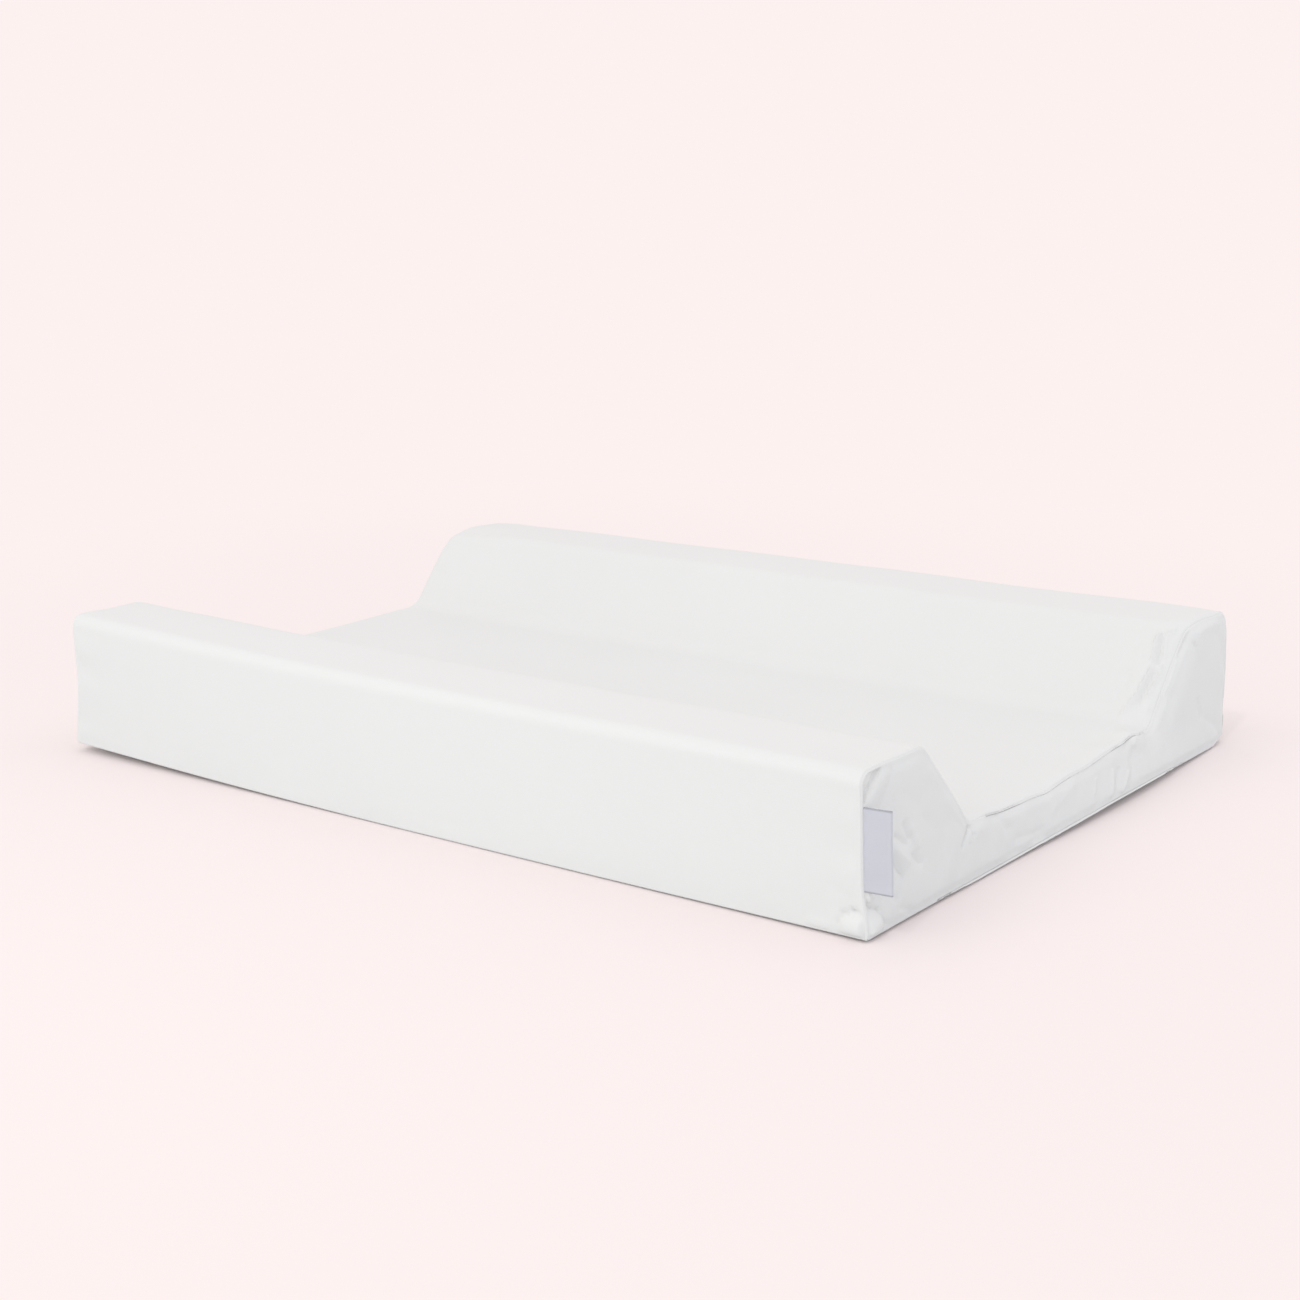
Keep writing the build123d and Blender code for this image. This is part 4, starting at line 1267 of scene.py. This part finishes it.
class OBJECT_OT_pad_studio(bpy.types.Operator):
    """Pale floor, even sky light, two soft windows, a faint sun, and the camera"""

    bl_idname = "object.pad_studio"
    bl_label = "Studio"
    bl_options = {"REGISTER", "UNDO"}

    def execute(self, context):
        scene = context.scene
        colours = scene.changing_pad_colours
        self.camera(scene)
        self.floor(colours)
        self.lights(scene, colours)
        scene.view_settings.view_transform = "Standard"
        return {"FINISHED"}

    def camera(self, scene):
        """Looks along the azimuth and elevation, and is rolled about that line."""
        a, e, r = (np.radians(v) for v in (CAMERA_AZIMUTH, CAMERA_ELEVATION, CAMERA_ROLL))
        forward = np.array([-np.sin(a) * np.cos(e), np.cos(a) * np.cos(e), -np.sin(e)])
        right = np.array([np.cos(a), np.sin(a), 0.0])
        up = np.cross(right, forward)
        turned_right = np.cos(r) * right + np.sin(r) * up
        turned_up = -np.sin(r) * right + np.cos(r) * up
        camera = bpy.data.objects.new("camera", bpy.data.cameras.new("camera"))
        scene.collection.objects.link(camera)
        place = Matrix.Identity(4)
        for column, axis in enumerate((turned_right, turned_up, -forward, CAMERA_PLACE)):
            for row in range(3):
                place[row][column] = axis[row]
        camera.matrix_world = place
        camera.data.sensor_width = SENSOR_WIDTH
        camera.data.lens = FOCAL_PIXELS / FRAME_PIXELS * SENSOR_WIDTH
        camera.data.clip_start, camera.data.clip_end = 0.01, 200.0
        scene.camera = camera

    def seen(self, tree):
        """1 for what the camera sees, directly or in a reflection or through something clear."""
        path = add(tree, "ShaderNodeLightPath").outputs
        straight = {0: path["Is Camera Ray"], 1: path["Is Glossy Ray"]}
        most = add(tree, "ShaderNodeMath", straight, operation="MAXIMUM")
        through = {0: most.outputs[0], 1: path["Is Transmission Ray"]}
        return add(tree, "ShaderNodeMath", through, operation="MAXIMUM").outputs[0]

    def floor(self, colours):
        """A level sheet of pale paper, 60 m across, just under the pad."""
        half = 30000.0
        points = [(-half, -half, -0.3), (half, -half, -0.3), (half, half, -0.3), (-half, half, -0.3)]
        floor = make_piece("floor", points, [[0, 1, 2, 3]])
        material, tree = new_material("studio_floor")
        plain = add(tree, "ShaderNodeBsdfDiffuse", {"Color": linear("#E8E8E8")})
        tinted = add(tree, "ShaderNodeBsdfDiffuse", {"Color": colours.floor})
        lit = add(tree, "ShaderNodeEmission", {"Color": colours.floor, "Strength": 1.0})
        # close to the pad the paper shows all of its shade, and further out it pales into the background
        place = add(tree, "ShaderNodeTexCoord")
        out = add(tree, "ShaderNodeVectorMath", {0: place.outputs["Object"]}, operation="ABSOLUTE")
        pad = {0: out.outputs[0], 1: (HALF_LENGTH * MM, HALF_WIDTH * MM, 0)}
        out = add(tree, "ShaderNodeVectorMath", pad, operation="SUBTRACT")
        out = add(tree, "ShaderNodeVectorMath", {0: out.outputs[0], 1: (0, 0, 0)}, operation="MAXIMUM")
        away = add(tree, "ShaderNodeVectorMath", {0: out.outputs[0]}, operation="LENGTH")
        near = {"Value": away.outputs["Value"], "From Min": 0.02, "From Max": 0.12, "To Max": 0.45}
        near = add(tree, "ShaderNodeMapRange", near, interpolation_type="SMOOTHSTEP")
        far = {"Value": away.outputs["Value"], "From Min": 0.12, "From Max": 0.8, "To Max": 0.55}
        far = add(tree, "ShaderNodeMapRange", far, interpolation_type="SMOOTHSTEP")
        share = add(tree, "ShaderNodeMath", {0: near.outputs["Result"], 1: far.outputs["Result"]})
        pale = {0: share.outputs[0], 1: tinted.outputs[0], 2: lit.outputs[0]}
        paper = add(tree, "ShaderNodeMixShader", pale)
        both = {0: self.seen(tree), 1: plain.outputs[0], 2: paper.outputs[0]}
        both = add(tree, "ShaderNodeMixShader", both)
        add(tree, "ShaderNodeOutputMaterial", {"Surface": both.outputs[0]})
        floor.data.materials.append(material)

    def lights(self, scene, colours):
        """A faint sun for the floor's shadow, a soft window in front and a weaker one to the right, and an
        even sky whose seen colour is the floor's."""
        key = bpy.data.objects.new("key_light", bpy.data.lights.new("key_light", "SUN"))
        scene.collection.objects.link(key)
        height = np.radians(SUN_HEIGHT)
        travel = Vector((*(part * np.cos(height) for part in SUN_HEADING), -np.sin(height)))
        key.rotation_mode = "QUATERNION"
        key.rotation_quaternion = travel.to_track_quat("-Z", "Y")
        key.data.energy = SUN_STRENGTH
        key.data.angle = np.radians(SUN_WIDTH)
        for name, place, power in WINDOWS:
            window = bpy.data.objects.new(name, bpy.data.lights.new(name, "AREA"))
            scene.collection.objects.link(window)
            window.data.shape, window.data.size, window.data.energy = "SQUARE", WINDOW_SIZE, power
            window.location = place
            window.visible_camera = False
            window.rotation_mode = "QUATERNION"
            window.rotation_quaternion = (Vector((0, 0, 0.05)) - window.location).to_track_quat("-Z", "Y")
        world = bpy.data.worlds.new("sky")
        scene.world = world
        world.use_nodes = True
        tree = world.node_tree
        tree.nodes.clear()
        # one strength all round, cooler from the right
        way = add(tree, "ShaderNodeTexCoord")
        side = add(tree, "ShaderNodeSeparateXYZ", {0: way.outputs["Generated"]})
        cast = {"Value": side.outputs["X"], "From Min": -0.2, "From Max": 0.9}
        cast = add(tree, "ShaderNodeMapRange", cast)
        tones = {0: cast.outputs["Result"], 6: SKY_LEFT, 7: SKY_RIGHT}
        tint = add(tree, "ShaderNodeMix", tones, data_type="RGBA")
        light = add(tree, "ShaderNodeBackground", {"Color": tint.outputs[2], "Strength": SKY_STRENGTH})
        shown = add(tree, "ShaderNodeBackground", {"Color": colours.floor, "Strength": 1.0})
        both = {0: self.seen(tree), 1: light.outputs[0], 2: shown.outputs[0]}
        both = add(tree, "ShaderNodeMixShader", both)
        add(tree, "ShaderNodeOutputWorld", {"Surface": both.outputs[0]})


class VIEW3D_PT_changing_pad(bpy.types.Panel):
    """Lists the pieces of the pad"""

    bl_idname = "VIEW3D_PT_changing_pad"
    bl_label = "Changing Pad"
    bl_space_type = "VIEW_3D"
    bl_region_type = "UI"
    bl_category = "Changing Pad"

    def draw(self, context):
        for operator in OPERATORS:
            self.layout.operator(operator.bl_idname)
        for group in ("changing_pad_section", "changing_pad_cover", "changing_pad_colours"):
            settings = getattr(context.scene, group)
            for key in settings.bl_rna.properties.keys():
                if key not in ("rna_type", "name"):
                    self.layout.prop(settings, key)


GROUPS = (ChangingPadSection, ChangingPadCover, ChangingPadColours)
OPERATORS = (
    OBJECT_OT_pad_studio,
    OBJECT_OT_pad_slack,
    OBJECT_OT_pad_foam,
    OBJECT_OT_pad_wrap,
    OBJECT_OT_pad_base,
    OBJECT_OT_pad_ends,
    OBJECT_OT_pad_tag,
    OBJECT_OT_pad_zip,
)


def register():
    for item in (*GROUPS, *OPERATORS, VIEW3D_PT_changing_pad):
        bpy.utils.register_class(item)
    bpy.types.Scene.changing_pad_section = bpy.props.PointerProperty(type=ChangingPadSection)
    bpy.types.Scene.changing_pad_cover = bpy.props.PointerProperty(type=ChangingPadCover)
    bpy.types.Scene.changing_pad_colours = bpy.props.PointerProperty(type=ChangingPadColours)


def unregister():
    del bpy.types.Scene.changing_pad_colours
    del bpy.types.Scene.changing_pad_cover
    del bpy.types.Scene.changing_pad_section
    for item in reversed((*GROUPS, *OPERATORS, VIEW3D_PT_changing_pad)):
        bpy.utils.unregister_class(item)


def main():
    """Builds the studio and the pad's pieces."""
    register()
    bpy.ops.object.pad_studio()
    bpy.ops.object.pad_slack()
    bpy.ops.object.pad_foam()
    bpy.ops.object.pad_wrap()
    bpy.ops.object.pad_base()
    bpy.ops.object.pad_ends()
    bpy.ops.object.pad_tag()
    bpy.ops.object.pad_zip()
    bpy.context.view_layer.update()


if __name__ == "__main__":
    main()
